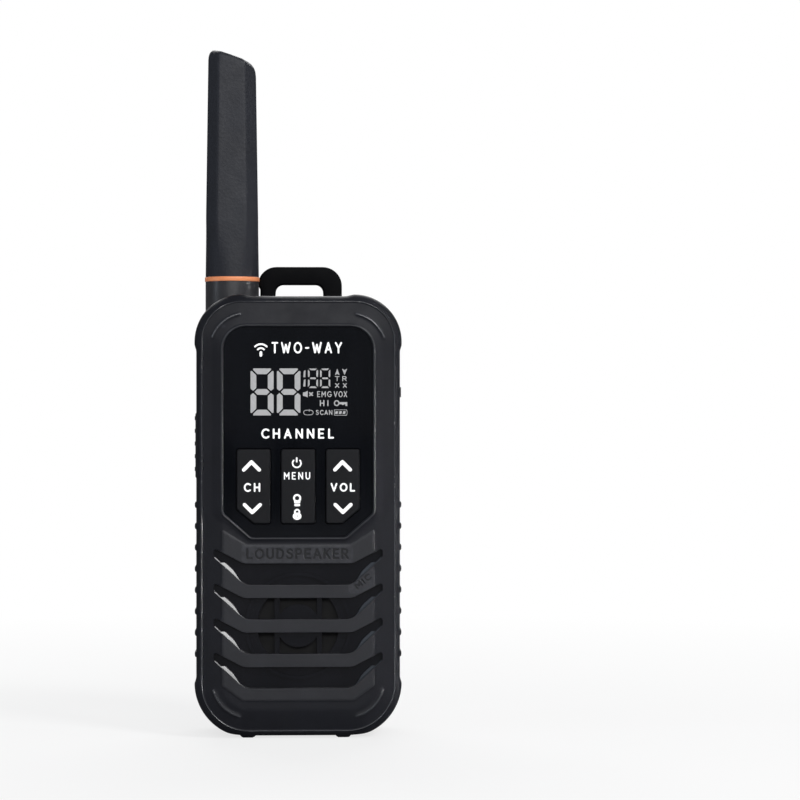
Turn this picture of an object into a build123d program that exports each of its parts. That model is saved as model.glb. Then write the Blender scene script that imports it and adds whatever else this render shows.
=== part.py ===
from build123d import *
import math
import os

# Hand-held two-way radio. Millimetres. +X is the right side seen from the front, the front faces -Y, +Z is up.
# The origin is on the surface it stands on, at the middle of its overall width and depth.

# ---- driving dimensions ----
HALF_W = 28.5          # half width of the body between the flat sides
BODY_BOTTOM = 0.6      # underside of the body; only the foot pads reach lower
BODY_TOP = 123.6
R_TOP = 12.8           # outline corner radius, top
R_BOTTOM = 14.8        # outline corner radius, bottom
GUARD = 0.5            # how far the corner guards stand proud

Y_CREST = -22.0        # crest of the rim round the display
Y_PANEL = -21.6        # raised grille panel
Y_FLANK = -20.9        # flanks beside the panel
Y_SKIN = -20.0         # back of the rubber, front of the hard shell
Y_SHELL = -18.5        # inner face of the hard shell's front wall
Y_SPLIT = 1.0          # parting plane between front and rear
Y_REAR = 11.0          # rear face
SKIN = 1.3             # rubber thickness on the sides
WALL = 1.5             # hard shell thickness

RIM_W = 21.25          # rim of the display, half width
RIM_TOP = 115.4
RIM_BOTTOM = 55.9
RIM_CHAMFER = ((21.25, 62.8), (13.3, 55.9))
RIM_HALF = 0.45        # half width of the rim's crest
R_RIM_TOP = 6.7
R_RIM_LOW = 2.2

KEY_TOP = 80.8
KEY_BOTTOM = 60.1
KEY_SIDE = (7.75, 17.1)
KEY_MID = 4.74
KEY_FRONT = -21.9
KEY_BACK = -19.15
KEY_GAP = 0.25

SLOT_TOPS = (48.94, 39.32, 29.70, 20.08)
SLOT_H = 5.98
SLOT_FLAT = 14.9       # half length of the level part of each slot
SLOT_END = 23.5        # half length over the raised ends

SPEAKER = (0.0, 31.5)  # x, z of the speaker's axis
R_SPEAKER = 14.4

ANT_X, ANT_Y = -18.8, -3.0
R_BASE = 7.6
R_RING = 7.78
Z_RING = (128.7, 129.9)
Z_TIP = 194.0

LOOP = (-10.9, 12.6, 5.0, 8.4)     # x0, x1, y0, y1
LOOP_TOP = 132.9
LOOP_HOLE = (-6.75, 7.45, 121.0, 127.7)   # x0, x1, low, high

PTT = (72.5, 91.0, -14.0, -2.5)    # z0, z1, y0, y1
PTT_X = (-29.1, -26.2)
FEET = ((-16.1, -11.9), (10.5, 14.7))   # x0, x1 of the two foot pads
PORT = (95.3, 110.0, -13.0, -1.5)  # z0, z1, y0, y1
PORT_HINGE = (27.925, 109.55)      # x, z of the flap's bending line

DOOR = (19.8, 5.2, 66.6)           # half width, z0, z1
BAY = (16.5, 7.4, 56.6)            # battery bay, half width, z0, z1
CELL_R, CELL_L = 5.25, 44.5

CLIP_PIN = (14.6, 106.0)           # y, z
CLIP_W = 7.5                       # half width of the clip
CLIP_TIP = 70.5

SCREWS = ((-9.0, 115.0), (9.0, 115.0), (-22.0, 70.8), (22.0, 70.8), (-23.3, 14.0), (23.3, 14.0))

os.makedirs("parts", exist_ok=True)


# ---- helpers ----
def slab(face, y0, y1):
    return extrude(Plane.XZ.offset(-y1) * face, amount=(y1 - y0))


def bar_x(face, x0, x1):
    return extrude(Plane.YZ.offset(x0) * face, amount=(x1 - x0))


def box(x0, x1, y0, y1, z0, z1):
    return Pos((x0 + x1) / 2, (y0 + y1) / 2, (z0 + z1) / 2) * Box(x1 - x0, y1 - y0, z1 - z0)


def rod_y(x, z, r, y0, y1):
    return slab(Pos(x, z) * Circle(r), y0, y1)


def rod_x(y, z, r, x0, x1):
    return bar_x(Pos(y, z) * Circle(r), x0, x1)


def rod_z(x, y, r, z0, z1):
    return Pos(x, y, z0) * Cylinder(r, z1 - z0, align=(Align.CENTER, Align.CENTER, Align.MIN))


def rounded(points, radii):
    """A closed face through the points, each corner rounded by its own radius."""
    n = len(points)
    edges = []
    starts, ends = [], []
    for i in range(n):
        p0, p1, p2 = points[i - 1], points[i], points[(i + 1) % n]
        ax, az = p0[0] - p1[0], p0[1] - p1[1]
        bx, bz = p2[0] - p1[0], p2[1] - p1[1]
        la, lb = math.hypot(ax, az), math.hypot(bx, bz)
        ax, az, bx, bz = ax / la, az / la, bx / lb, bz / lb
        half = math.acos(max(-1, min(1, ax * bx + az * bz))) / 2
        t = radii[i] / math.tan(half)
        s = (p1[0] + ax * t, p1[1] + az * t)
        e = (p1[0] + bx * t, p1[1] + bz * t)
        mx, mz = ax + bx, az + bz
        lm = math.hypot(mx, mz)
        d = radii[i] / math.sin(half) - radii[i]
        m = (p1[0] + mx / lm * d, p1[1] + mz / lm * d)
        starts.append(s)
        ends.append(e)
        edges.append(ThreePointArc(s, m, e))
    for i in range(n):
        j = (i + 1) % n
        if math.hypot(ends[i][0] - starts[j][0], ends[i][1] - starts[j][1]) > 1e-5:
            edges.append(Line(ends[i], starts[j]))
    return make_face(edges)


def outline(o=0.0):
    """Body outline, moved inwards by o (outwards when negative)."""
    w, b, t = HALF_W - o, BODY_BOTTOM + o, BODY_TOP - o
    return rounded([(-w, b), (w, b), (w, t), (-w, t)], [R_BOTTOM - o, R_BOTTOM - o, R_TOP - o, R_TOP - o])


def rim(o=0.0):
    """Rim outline round the display and keys, moved outwards by o."""
    (x1, z1), (x2, z2) = RIM_CHAMFER
    length = math.hypot(x1 - x2, z1 - z2)
    nx, nz = (z1 - z2) / length, -(x1 - x2) / length
    px, pz = x1 + nx * o, z1 + nz * o
    slope = (z1 - z2) / (x1 - x2)
    w, t, b = RIM_W + o, RIM_TOP + o, RIM_BOTTOM - o
    zc = pz + slope * (w - px)
    xc = px + (b - pz) / slope
    pts = [(-xc, b), (xc, b), (w, zc), (w, t), (-w, t), (-w, zc)]
    r = [R_RIM_LOW + o * 0.5] * 3 + [R_RIM_TOP + o] * 2 + [R_RIM_LOW + o * 0.5]
    return rounded(pts, r)


def key_face(side, grow=0.0):
    """One key pad's outline: 0 is the middle one, -1 left, 1 right."""
    g = grow
    if side == 0:
        return rounded(
            [(-KEY_MID - g, KEY_BOTTOM - g), (KEY_MID + g, KEY_BOTTOM - g), (KEY_MID + g, KEY_TOP + g), (-KEY_MID - g, KEY_TOP + g)],
            [0.7 + g] * 4,
        )
    a, b = KEY_SIDE[0] - g, KEY_SIDE[1] + g
    lo, hi = KEY_BOTTOM - g, KEY_TOP + g
    pts = [(a, lo), (12.3 + g * 0.4, lo), (b, 64.1 - g * 0.4), (b, hi), (a, hi)]
    if side < 0:
        pts = [(-x, z) for x, z in reversed(pts)]
        return rounded(pts, [0.7 + g, 0.7 + g, 0.7 + g, 0.7 + g, 0.7 + g])
    return rounded(pts, [0.7 + g] * 5)


def slot_face(top, grow=0.0):
    """One grille slot: level in the middle, both ends rising outwards."""
    low = top - SLOT_H
    g = grow
    up_top, up_low = 5.75, 6.9
    pts = [
        (-SLOT_END - g, low + up_low - g), (-SLOT_FLAT, low - g), (SLOT_FLAT, low - g), (SLOT_END + g, low + up_low - g),
        (SLOT_END + g, top + up_top + g), (SLOT_FLAT, top + g), (-SLOT_FLAT, top + g), (-SLOT_END - g, top + up_top + g),
    ]
    return rounded(pts, [0.8, 2.5, 2.5, 0.8, 0.6, 2.5, 2.5, 0.6])


def rect(x0, x1, z0, z1, r=0.0):
    face = Pos((x0 + x1) / 2, (z0 + z1) / 2) * (RectangleRounded(x1 - x0, z1 - z0, r) if r else Rectangle(x1 - x0, z1 - z0))
    return face


def save(shape, name):
    export_step(shape, f"parts/{name}.step")


# ---- rubber overmould on the front and sides ----
skin = slab(outline(0), Y_FLANK, Y_SPLIT)
front_edges = [e for e in skin.edges() if abs(e.center().Y - Y_FLANK) < 1e-3]
skin = chamfer(front_edges, 1.1)
# raised panel that carries the grille
panel = slab(rounded([(-17.0, 10.6), (17.0, 10.6), (21.2, 14.6), (21.2, 61.0), (13.2, 54.2), (-13.2, 54.2), (-21.2, 61.0), (-21.2, 14.6)],
                     [2.0, 2.0, 2.0, 0.3, 1.8, 1.8, 0.3, 2.0]), Y_PANEL, Y_FLANK + 0.2)
skin += panel
skin += slab(rim(RIM_HALF), Y_CREST, Y_FLANK + 0.2)
# corner guards
corner = slab(outline(-GUARD), -18.9, Y_SPLIT) - slab(outline(0.4), -19.5, Y_SPLIT + 1)
keep = box(14.3, 31, -25, 5, 107.8, 126) + box(-31, -14.3, -25, 5, 107.8, 126) + box(15.2, 31, -25, 5, 0.05, 16.0) + box(-31, -15.2, -25, 5, 0.05, 16.0)
skin += corner & keep
# foot pads
for x0, x1 in FEET:
    skin += box(x0, x1, -18.0, Y_SPLIT, 0.0, 1.2)
# grip ribs
for s in (-1, 1):
    for i in range(8):
        z = 65.2 - 5.96 * i
        x0, x1 = sorted((s * (HALF_W - 0.3), s * (HALF_W + 0.4)))
        skin += box(x0, x1, -17.8, Y_SPLIT, z - 0.8, z + 0.8)
# accent arcs at the corners
for s in (-1, 1):
    ring = Pos(s * 14.4, 108.65) * (Circle(10.35) - Circle(9.75))
    wedge = rect(min(s * 16.0, s * 26), max(s * 16.0, s * 26), 112.0, 122)
    skin += slab(ring & wedge, Y_FLANK - 0.25, Y_FLANK + 0.2)
    ring = Pos(s * 13.55, 16.44) * (Circle(10.7) - Circle(10.1))
    wedge = rect(min(s * 16.2, s * 26), max(s * 16.2, s * 26), 2, 13.6)
    skin += slab(ring & wedge, Y_FLANK - 0.25, Y_FLANK + 0.2)
# hollow and openings
skin -= slab(outline(SKIN), Y_SKIN, Y_SPLIT + 1)
skin -= slab(rim(-RIM_HALF), -30, -15)
for t in SLOT_TOPS:
    skin -= slab(slot_face(t), -30, -15)
skin -= box(-31, -24, PTT[2] - 0.3, PTT[3] + 0.3, PTT[0] - 0.3, PTT[1] + 0.3)
skin -= box(25, 31, PORT[2] - 0.3, PORT[3] + 0.3, PORT[0] - 0.3, PORT[1] + 0.3)
skin -= rod_z(ANT_X, ANT_Y, R_BASE + 0.1, 108.0, 140)
skin -= rod_z(0, -9.0, 3.3, 118, 130)
skin -= rod_y(SPEAKER[0], SPEAKER[1], R_SPEAKER + 0.6, -20.6, -19.0)
# the face sheet and the band round the sides meet on the front of the shell
ahead = box(-40, 40, -30, Y_SKIN, -5, 140)
save(skin & ahead, "front_overmould")
save(skin - ahead, "side_overmould")

# ---- hard front shell, glossy where the grille slots show it ----
shell = slab(outline(SKIN), Y_SKIN, Y_SPLIT) - slab(outline(SKIN + WALL), Y_SHELL, Y_SPLIT + 1)
for x, z in SCREWS:
    shell += rod_y(x, z, 2.2, Y_SHELL - 0.3, Y_SPLIT - 0.1)
# raised ring round the speaker
shell += rod_y(SPEAKER[0], SPEAKER[1], R_SPEAKER + 0.5, Y_SKIN - 0.5, Y_SKIN + 0.2) - rod_y(SPEAKER[0], SPEAKER[1], R_SPEAKER - 0.4, Y_SKIN - 1, Y_SKIN + 0.3)
mouth = rod_y(SPEAKER[0], SPEAKER[1], 11.4, -22, -18)
for x in (-5.9, 5.9):
    mouth -= box(x - 0.7, x + 0.7, -23, -17, 15, 48)
mouth -= rod_y(SPEAKER[0], SPEAKER[1], 6.0, -23, -17)
shell -= mouth
shell -= slab(rect(-16.2, 16.2, 83.6, 107.6), -22, -18)
for side in (-1, 0, 1):
    shell -= slab(key_face(side, KEY_GAP + 0.15), -22, -18)
shell -= box(-31, -24, PTT[2] - 0.3, PTT[3] + 0.3, PTT[0] - 0.3, PTT[1] + 0.3)
shell -= box(25, 31, -12.4, -2.1, 96.2, 108.6)
shell -= rod_z(ANT_X, ANT_Y, R_BASE + 0.1, 108.0, 140)
shell -= rod_z(0, -9.0, 3.3, 118, 130)
shell -= rod_y(18.0, 45.2, 0.7, -22, -18)
for x, z in SCREWS:
    shell -= rod_y(x, z, 1.05, Y_SHELL + 1.0, Y_SPLIT + 1)
shell -= slab(outline(1.6) - outline(2.2), Y_SPLIT - 0.4, Y_SPLIT + 1)
# faceplate, and the side walls with their screw posts behind it
ahead = box(-40, 40, -30, Y_SHELL, -5, 140)
save(shell & ahead, "front_shell")
save(shell - ahead, "front_frame")

# ---- seal between front and rear ----
seal = slab(outline(1.6) - outline(2.2), Y_SPLIT - 0.4, Y_SPLIT + 0.4)
seal -= rod_z(ANT_X, ANT_Y, R_BASE + 0.1, 108.0, 140)
save(seal, "shell_gasket")

# ---- display ----
lens = slab(rim(-RIM_HALF - 0.05), -21.3, Y_SKIN)
for side in (-1, 0, 1):
    lens -= slab(key_face(side, KEY_GAP), -22, -18)
save(lens, "display_lens")
save(slab(rect(-15.8, 15.8, 84.0, 107.2), -19.9, -18.4), "lcd_panel")
save(slab(rect(-15.8, 15.8, 83.2, 107.9), -18.3, -16.6), "lcd_backlight")

# ---- keys ----
z_mid = (KEY_TOP + KEY_BOTTOM) / 2
for side, name in ((-1, "channel_rocker"), (0, "menu_rocker"), (1, "volume_rocker")):
    key = slab(key_face(side), KEY_FRONT, KEY_BACK)
    edges = [e for e in key.edges() if abs(e.center().Y - KEY_FRONT) < 1e-3]
    key = fillet(edges, 0.35)
    save(key, name)
mat = slab(rect(-19.2, 19.2, 58.4, 82.4, 1.5), -18.4, -17.9)
for x in (-12.4, 0, 12.4):
    mat += bar_x(Pos(-18.75, z_mid) * Circle(0.35) + Pos(-18.5, z_mid) * Rectangle(0.5, 0.7), x - 3.5, x + 3.5)
save(mat, "keypad_mat")
switches = [rod_y(x, z, 2.4, -16.5, -15.6) + rod_y(x, z, 1.1, -17.3, -16.4) for x in (-12.4, 0, 12.4) for z in (64.4, 76.6)]
save(Compound(children=switches), "key_switches")

# ---- circuit board ----
board = box(-24.2, 24.2, -15.6, -14.4, 18.0, 112.0) + box(-19.8, 19.8, -15.6, -14.4, 7.0, 18.1) + box(-18.0, 18.0, -15.6, -14.4, 111.9, 116.0)
board -= rod_y(SPEAKER[0], SPEAKER[1], R_SPEAKER + 0.8, -17, -13)
for x, z in SCREWS:
    if z > 20:
        board -= rod_y(x, z, 2.5, -17, -13)
save(board, "main_board")
can = slab(rect(-15.5, 15.5, 64.0, 92.0, 1.0), -14.4, -11.6) - slab(rect(-15.1, 15.1, 64.4, 91.6, 0.6), -14.4, -12.0)
save(can, "rf_shield")

# ---- speaker ----
sx, sz = SPEAKER
save(rod_y(sx, sz, 13.6, Y_SHELL, Y_SHELL + 0.3), "speaker_membrane")
frame = rod_y(sx, sz, 13.9, -18.15, -14.0) - rod_y(sx, sz, 12.6, -19, -15.0) - rod_y(sx, sz, 6.2, -19, -13)
save(frame, "speaker_frame")
cone = Plane.XZ.offset(15.1) * Cone(6.0, 12.3, 2.6, align=(Align.CENTER, Align.CENTER, Align.MIN))
cone = Pos(sx, 0, sz) * cone
hollow = Pos(sx, 0, sz) * (Plane.XZ.offset(15.35) * Cone(5.8, 12.1, 2.6, align=(Align.CENTER, Align.CENTER, Align.MIN)))
save(cone - hollow, "speaker_cone")
save(rod_y(sx, sz, 7.8, -13.95, -10.4) + rod_y(sx, sz, 5.9, -15.0, -13.9), "speaker_magnet")

# ---- microphone behind the right end of the first slot ----
save(rod_y(18.0, 45.2, 2.0, Y_SHELL, -16.6), "microphone")

# ---- push-to-talk ----
z0, z1, y0, y1 = PTT
ptt = box(PTT_X[0] + 0.2, PTT_X[1], y0, y1, z0, z1)
ptt = fillet([e for e in ptt.edges() if abs(e.center().X - (PTT_X[0] + 0.2)) < 1e-3], 0.6)
for i in range(5):
    z = 89.4 - 3.58 * i
    ptt += box(PTT_X[0], PTT_X[0] + 0.6, y0 + 1.2, y1 - 1.2, z - 0.55, z + 0.55)
save(ptt, "ptt_button")
save(box(-24.8, -21.0, -14.4, -10.6, 79.0, 84.6) + box(-25.2, -24.7, -13.2, -11.8, 80.8, 82.8), "ptt_switch")

# ---- ports and their flap ----
z0, z1, y0, y1 = PORT
flap = box(27.35, HALF_W, y0, y1, z0, PORT_HINGE[1])
flap = fillet([e for e in flap.edges() if abs(e.center().X - HALF_W) < 1e-3 and e.center().Z < z1 - 1], 0.3)
# round bead along the bending line
flap += Pos(PORT_HINGE[0], (y0 + y1) / 2, PORT_HINGE[1]) * (Rot(90, 0, 0) * Cylinder(0.575, y1 - y0))
flap += box(28.2, 29.1, -9.6, -4.9, z0, z0 + 2.8)
save(flap, "port_cover")
sock = box(18.0, 26.0, -12.0, -2.4, 96.6, 102.2) - box(19.5, 27, -11.6, -2.8, 97.9, 101.1)
sock += box(18.5, 25.2, -10.4, -4.0, 99.2, 99.8)
save(sock, "charge_socket")
jack = box(14.0, 26.0, -10.0, -4.4, 102.7, 108.3) - rod_x(-7.2, 105.5, 1.3, 15.0, 27)
save(jack, "headset_jack")

# ---- antenna ----
base = rod_z(ANT_X, ANT_Y, R_BASE, 108.1, Z_RING[0])
base = chamfer([e for e in base.edges() if abs(e.center().Z - 108.1) < 1e-3], 0.5)
base -= rod_z(ANT_X, ANT_Y, 3.1, 107, 131)
save(base, "antenna_base")
ring = rod_z(ANT_X, ANT_Y, R_RING, *Z_RING) - rod_z(ANT_X, ANT_Y, 3.1, 128, 131)
save(ring, "antenna_ring")
whip_h = Z_TIP + 3 - Z_RING[1]
whip = Pos(ANT_X, ANT_Y, Z_RING[1]) * Cone(7.55, 6.66, whip_h, align=(Align.CENTER, Align.CENTER, Align.MIN))
# flats that grow towards the tip, all round
for angle in range(0, 360, 45):
    reach0, reach1 = 7.62, 6.05 if angle % 90 == 0 else 6.25
    tilt = math.degrees(math.atan2(reach0 - reach1, 64.0))
    cutter = Box(10, 30, 90, align=(Align.MIN, Align.CENTER, Align.MIN))
    cutter = Rot(0, 0, angle) * (Pos(reach0, 0, 0) * (Rot(0, -tilt, 0) * (Pos(0, 0, -6) * cutter)))
    whip -= Pos(ANT_X, ANT_Y, Z_RING[1]) * cutter
# oblique top, lower on the right
whip -= Pos(ANT_X - 5.0, ANT_Y, Z_TIP) * (Rot(0, 18.5, 0) * Box(60, 40, 20, align=(Align.CENTER, Align.CENTER, Align.MIN)))
whip -= rod_z(ANT_X, ANT_Y, 3.1, 125, 178)
save(whip, "antenna_whip")
save(rod_z(ANT_X, ANT_Y, 3.0, 110, 176) - rod_z(ANT_X, ANT_Y, 2.2, 109, 177), "antenna_coil")

# ---- rear shell with the battery bay ----
rear = slab(outline(0), Y_SPLIT, Y_REAR)
rear = fillet([e for e in rear.edges() if abs(e.center().Y - Y_REAR) < 1e-3], 2.4)
rear -= slab(outline(2.4), Y_SPLIT - 1, Y_REAR - 2.0)
rear += box(-22.0, 22.0, 8.0, Y_REAR, 3.4, 68.6) & slab(outline(0.8), 0, Y_REAR)
rear += box(-BAY[0] - 1.4, BAY[0] + 1.4, -3.4, 9.0, BAY[1] - 1.4, BAY[2] + 1.4)
rear += box(-14.8, 14.8, 1.8, Y_REAR - 0.4, 119.0, BODY_TOP) & slab(outline(0.3), 0, Y_REAR)
for x, z in SCREWS:
    rear += rod_y(x, z, 3.0, Y_SPLIT, Y_REAR - 0.5) & slab(outline(0.5), 0, Y_REAR)
for x in (-14.0, 14.0):
    rear += rod_y(x, 63.2, 3.0, 3.0, 9.4)
rear -= slab(rect(-DOOR[0] - 0.2, DOOR[0] + 0.2, DOOR[1] - 0.2, DOOR[2] + 0.2, 2.6), 9.6, 14)
rear -= box(-BAY[0], BAY[0], -2.2, 12, BAY[1], BAY[2])
rear -= box(-13.2, 13.2, 3.4, 14, 120.8, 130)
rear -= box(LOOP[0] - 0.02, LOOP[1] + 0.02, LOOP[2] - 0.02, LOOP[3] + 0.02, 118, 122)
for x, z in SCREWS:
    rear -= rod_y(x, z, 1.3, -1, 14)
    rear -= rod_y(x, z, 2.3, 8.9, 14)
for x in (-14.0, 14.0):
    rear -= rod_y(x, 63.2, 1.35, 4.0, 14)
rear -= rod_z(ANT_X, ANT_Y, R_BASE + 0.1, 108.0, 140)
rear -= slab(outline(1.6) - outline(2.2), Y_SPLIT - 1, Y_SPLIT + 0.4)
# ears that hold the clip's pin
for s in (-1, 1):
    x0, x1 = sorted((s * 8.0, s * 10.4))
    ear = bar_x(Pos(CLIP_PIN[0], CLIP_PIN[1]) * Circle(2.9), x0, x1) + box(x0, x1, 10.6, CLIP_PIN[0], CLIP_PIN[1] - 2.9, CLIP_PIN[1] + 2.9) + box(x0, x1, 10.6, 11.6, CLIP_PIN[1] - 6, CLIP_PIN[1] + 6)
    rear += ear
rear -= rod_x(CLIP_PIN[0], CLIP_PIN[1], 1.25, -12, 12)
for x0, x1 in FEET:
    rear += box(x0, x1, Y_SPLIT, 9.4, 0.0, 1.4)
save(rear, "rear_shell")

# ---- lanyard loop ----
lx0, lx1, ly0, ly1 = LOOP
loop = slab(rounded([(lx0, 119.0), (lx1, 119.0), (lx1, LOOP_TOP), (lx0, LOOP_TOP)], [0.3, 0.3, 4.9, 4.9]), ly0, ly1)
hx0, hx1, hz0, hz1 = LOOP_HOLE
loop -= slab(rounded([(hx0, hz0), (hx1, hz0), (hx1 - 0.4, hz1), (hx0 + 0.4, hz1)], [0.6, 0.6, 2.2, 2.2]), ly0 - 1, ly1 + 1)
save(loop, "lanyard_loop")

# ---- batteries ----
cells = []
for i in (-1, 0, 1):
    x = i * 10.8
    z = 9.6
    cells.append(rod_z(x, 3.4, CELL_R, z, z + CELL_L - 0.8) + rod_z(x, 3.4, 1.9, z + CELL_L - 0.9, z + CELL_L))
save(Compound(children=cells), "battery_cells")
contacts = []
for i in (-1, 0, 1):
    x = i * 10.8
    contacts.append(box(x - 4, x + 4, -0.6, 7.4, BAY[1], BAY[1] + 0.4) + rod_z(x, 3.4, 2.6, BAY[1] + 0.3, 9.6))
    contacts.append(box(x - 4, x + 4, -0.6, 7.4, BAY[2] - 0.4, BAY[2]) + rod_z(x, 3.4, 1.8, 9.6 + CELL_L, BAY[2] - 0.3))
save(Compound(children=contacts), "battery_contacts")

# ---- battery door, its seal and its captive screws ----
door = slab(rect(-DOOR[0], DOOR[0], DOOR[1], DOOR[2], 2.4), 9.7, Y_REAR)
door = fillet([e for e in door.edges() if abs(e.center().Y - Y_REAR) < 1e-3], 0.4)
door += slab(rect(-BAY[0] + 0.3, BAY[0] - 0.3, BAY[1] + 0.3, BAY[2] - 0.3, 1.0), 9.1, 9.8)
groove = rect(-18.7, 18.7, BAY[1] - 1.5, BAY[2] + 1.5, 1.6) - rect(-17.4, 17.4, BAY[1] - 0.4, BAY[2] + 0.4, 1.0)
door -= slab(groove, 9.0, 10.25)
for i in range(5):
    door -= box(-9, 9, Y_REAR - 0.35, Y_REAR + 1, 14 + 3.0 * i, 15.4 + 3.0 * i)
for x in (-14.0, 14.0):
    door -= rod_y(x, 63.2, 1.75, 9, 12)
    door -= rod_y(x, 63.2, 3.0, 10.3, 12)
save(door, "battery_door")
save(slab(groove, 9.65, 10.25), "door_gasket")
coins = []
for x in (-14.0, 14.0):
    c = rod_y(x, 63.2, 2.85, 10.3, 11.0) + rod_y(x, 63.2, 1.25, 4.6, 10.4)
    c -= box(x - 3, x + 3, 10.65, 12, 62.8, 63.6)
    coins.append(c)
save(Compound(children=coins), "door_screws")

# ---- housing screws, cross-headed, from the rear ----
screws = []
for x, z in SCREWS:
    s = rod_y(x, z, 2.1, 8.9, 10.2) + rod_y(x, z, 1.0, -8.0, 9.0)
    s -= box(x - 1.3, x + 1.3, 9.6, 11, z - 0.25, z + 0.25)
    s -= box(x - 0.25, x + 0.25, 9.6, 11, z - 1.3, z + 1.3)
    screws.append(s)
save(Compound(children=screws), "housing_screws")

# ---- belt clip ----
py, pz = CLIP_PIN
clip_side = [(15.4, 113.6), (17.2, 113.6), (18.9, 106.0), (21.2, 97.0), (22.0, 86.0), (20.4, 76.6), (14.8, 70.2), (12.8, 70.2), (11.4, 72.4), (12.6, 73.4), (18.4, 79.0), (20.1, 86.0), (19.3, 96.5), (17.0, 102.9)]
clip = bar_x(rounded(clip_side, [0.6, 0.7, 3, 10, 10, 6, 0.9, 0.5, 0.5, 1.0, 3.0, 8, 10, 0.8]), -CLIP_W, CLIP_W)
clip += rod_x(py, pz, 2.4, -CLIP_W, CLIP_W)
clip -= box(-4.2, 4.2, py - 3.2, py + 2.6, pz - 3.2, pz + 3.2)
clip -= rod_x(py, pz, 1.28, -9, 9)
save(clip, "belt_clip")
save(rod_x(py, pz, 1.2, -10.4, 10.4), "clip_pin")
spring = rod_x(py, pz, 2.2, -3.6, 3.6) - rod_x(py, pz, 1.35, -5, 5)
save(spring, "clip_spring")

# ---- torch in the top face ----
save(rod_z(0, -9.0, 3.2, 121.4, BODY_TOP), "torch_lens")
save(rod_z(0, -9.0, 2.0, 117.4, 121.3) + box(-2.8, 2.8, -11.8, -6.2, 116.4, 117.5), "torch_led")
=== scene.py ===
import bpy, bmesh, math
import numpy as np
from mathutils import Vector, Matrix, Euler
from mathutils.geometry import delaunay_2d_cdt


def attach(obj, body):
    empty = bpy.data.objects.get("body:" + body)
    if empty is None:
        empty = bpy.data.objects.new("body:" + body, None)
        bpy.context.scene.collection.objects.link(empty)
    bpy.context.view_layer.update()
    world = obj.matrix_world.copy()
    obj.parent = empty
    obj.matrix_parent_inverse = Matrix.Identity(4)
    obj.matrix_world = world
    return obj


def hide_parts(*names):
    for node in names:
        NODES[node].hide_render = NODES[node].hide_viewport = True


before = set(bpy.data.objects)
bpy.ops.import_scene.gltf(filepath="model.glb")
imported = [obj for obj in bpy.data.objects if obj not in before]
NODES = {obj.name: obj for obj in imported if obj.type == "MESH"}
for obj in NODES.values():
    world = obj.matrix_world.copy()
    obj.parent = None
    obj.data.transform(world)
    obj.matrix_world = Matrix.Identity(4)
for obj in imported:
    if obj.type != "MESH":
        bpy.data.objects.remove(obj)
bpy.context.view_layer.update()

MM = 0.001
scene = bpy.context.scene
scene.view_settings.view_transform = "Standard"
scene.view_settings.look = "None"

# ------------------------------------------------------------------ camera
cam_data = bpy.data.cameras.new("camera")
cam_data.sensor_width = 36.0
cam_data.lens = 119.85
cam_data.clip_start = 0.02
cam_data.clip_end = 50.0
cam = bpy.data.objects.new("camera", cam_data)
scene.collection.objects.link(cam)
CAM_Y = -0.764
cam.location = (0.0, CAM_Y, 0.0945)
YAW = math.atan2(28.66, 750.0)
cam.rotation_euler = Euler((math.radians(90), 0, -YAW), "XYZ")
scene.camera = cam


# ------------------------------------------------------------------ node helpers
def new_mat(name):
    m = bpy.data.materials.new(name)
    m.use_nodes = True
    nt = m.node_tree
    nt.nodes.clear()
    out = nt.nodes.new("ShaderNodeOutputMaterial")
    bsdf = nt.nodes.new("ShaderNodeBsdfPrincipled")
    nt.links.new(bsdf.outputs[0], out.inputs[0])
    return m, nt, bsdf


def coords(nt):
    return nt.nodes.new("ShaderNodeTexCoord").outputs["Object"]


def noise(nt, vec, scale, detail=2.0, rough=0.5, stretch=None):
    if stretch:
        mp = nt.nodes.new("ShaderNodeMapping")
        mp.inputs["Scale"].default_value = stretch
        nt.links.new(vec, mp.inputs["Vector"])
        vec = mp.outputs[0]
    n = nt.nodes.new("ShaderNodeTexNoise")
    n.inputs["Scale"].default_value = scale
    n.inputs["Detail"].default_value = detail
    n.inputs["Roughness"].default_value = rough
    nt.links.new(vec, n.inputs["Vector"])
    return n.outputs["Fac"]


def voronoi(nt, vec, scale, feature="F1", smooth=None):
    n = nt.nodes.new("ShaderNodeTexVoronoi")
    n.feature = feature
    n.inputs["Scale"].default_value = scale
    if smooth is not None and feature == "SMOOTH_F1":
        n.inputs["Smoothness"].default_value = smooth
    nt.links.new(vec, n.inputs["Vector"])
    return n.outputs["Distance"]


def ramp(nt, fac, stops):
    r = nt.nodes.new("ShaderNodeValToRGB")
    el = r.color_ramp.elements
    while len(el) < len(stops):
        el.new(0.5)
    for e, (p, c) in zip(el, stops):
        e.position = p
        e.color = (*c, 1) if len(c) == 3 else c
    nt.links.new(fac, r.inputs[0])
    return r.outputs[0]


def maprange(nt, fac, a, b, lo, hi):
    n = nt.nodes.new("ShaderNodeMapRange")
    n.inputs["From Min"].default_value = a
    n.inputs["From Max"].default_value = b
    n.inputs["To Min"].default_value = lo
    n.inputs["To Max"].default_value = hi
    nt.links.new(fac, n.inputs["Value"])
    return n.outputs[0]


def math_node(nt, op, a, b=None):
    n = nt.nodes.new("ShaderNodeMath")
    n.operation = op
    for i, v in enumerate((a, b)):
        if v is None:
            continue
        if isinstance(v, (int, float)):
            n.inputs[i].default_value = v
        else:
            nt.links.new(v, n.inputs[i])
    return n.outputs[0]


def mix_color(nt, fac, a, b):
    n = nt.nodes.new("ShaderNodeMix")
    n.data_type = "RGBA"
    for sock, v in ((n.inputs[0], fac), (n.inputs[6], a), (n.inputs[7], b)):
        if isinstance(v, (int, float)):
            sock.default_value = v
        elif isinstance(v, tuple):
            sock.default_value = (*v, 1)
        else:
            nt.links.new(v, sock)
    return n.outputs[2]


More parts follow.
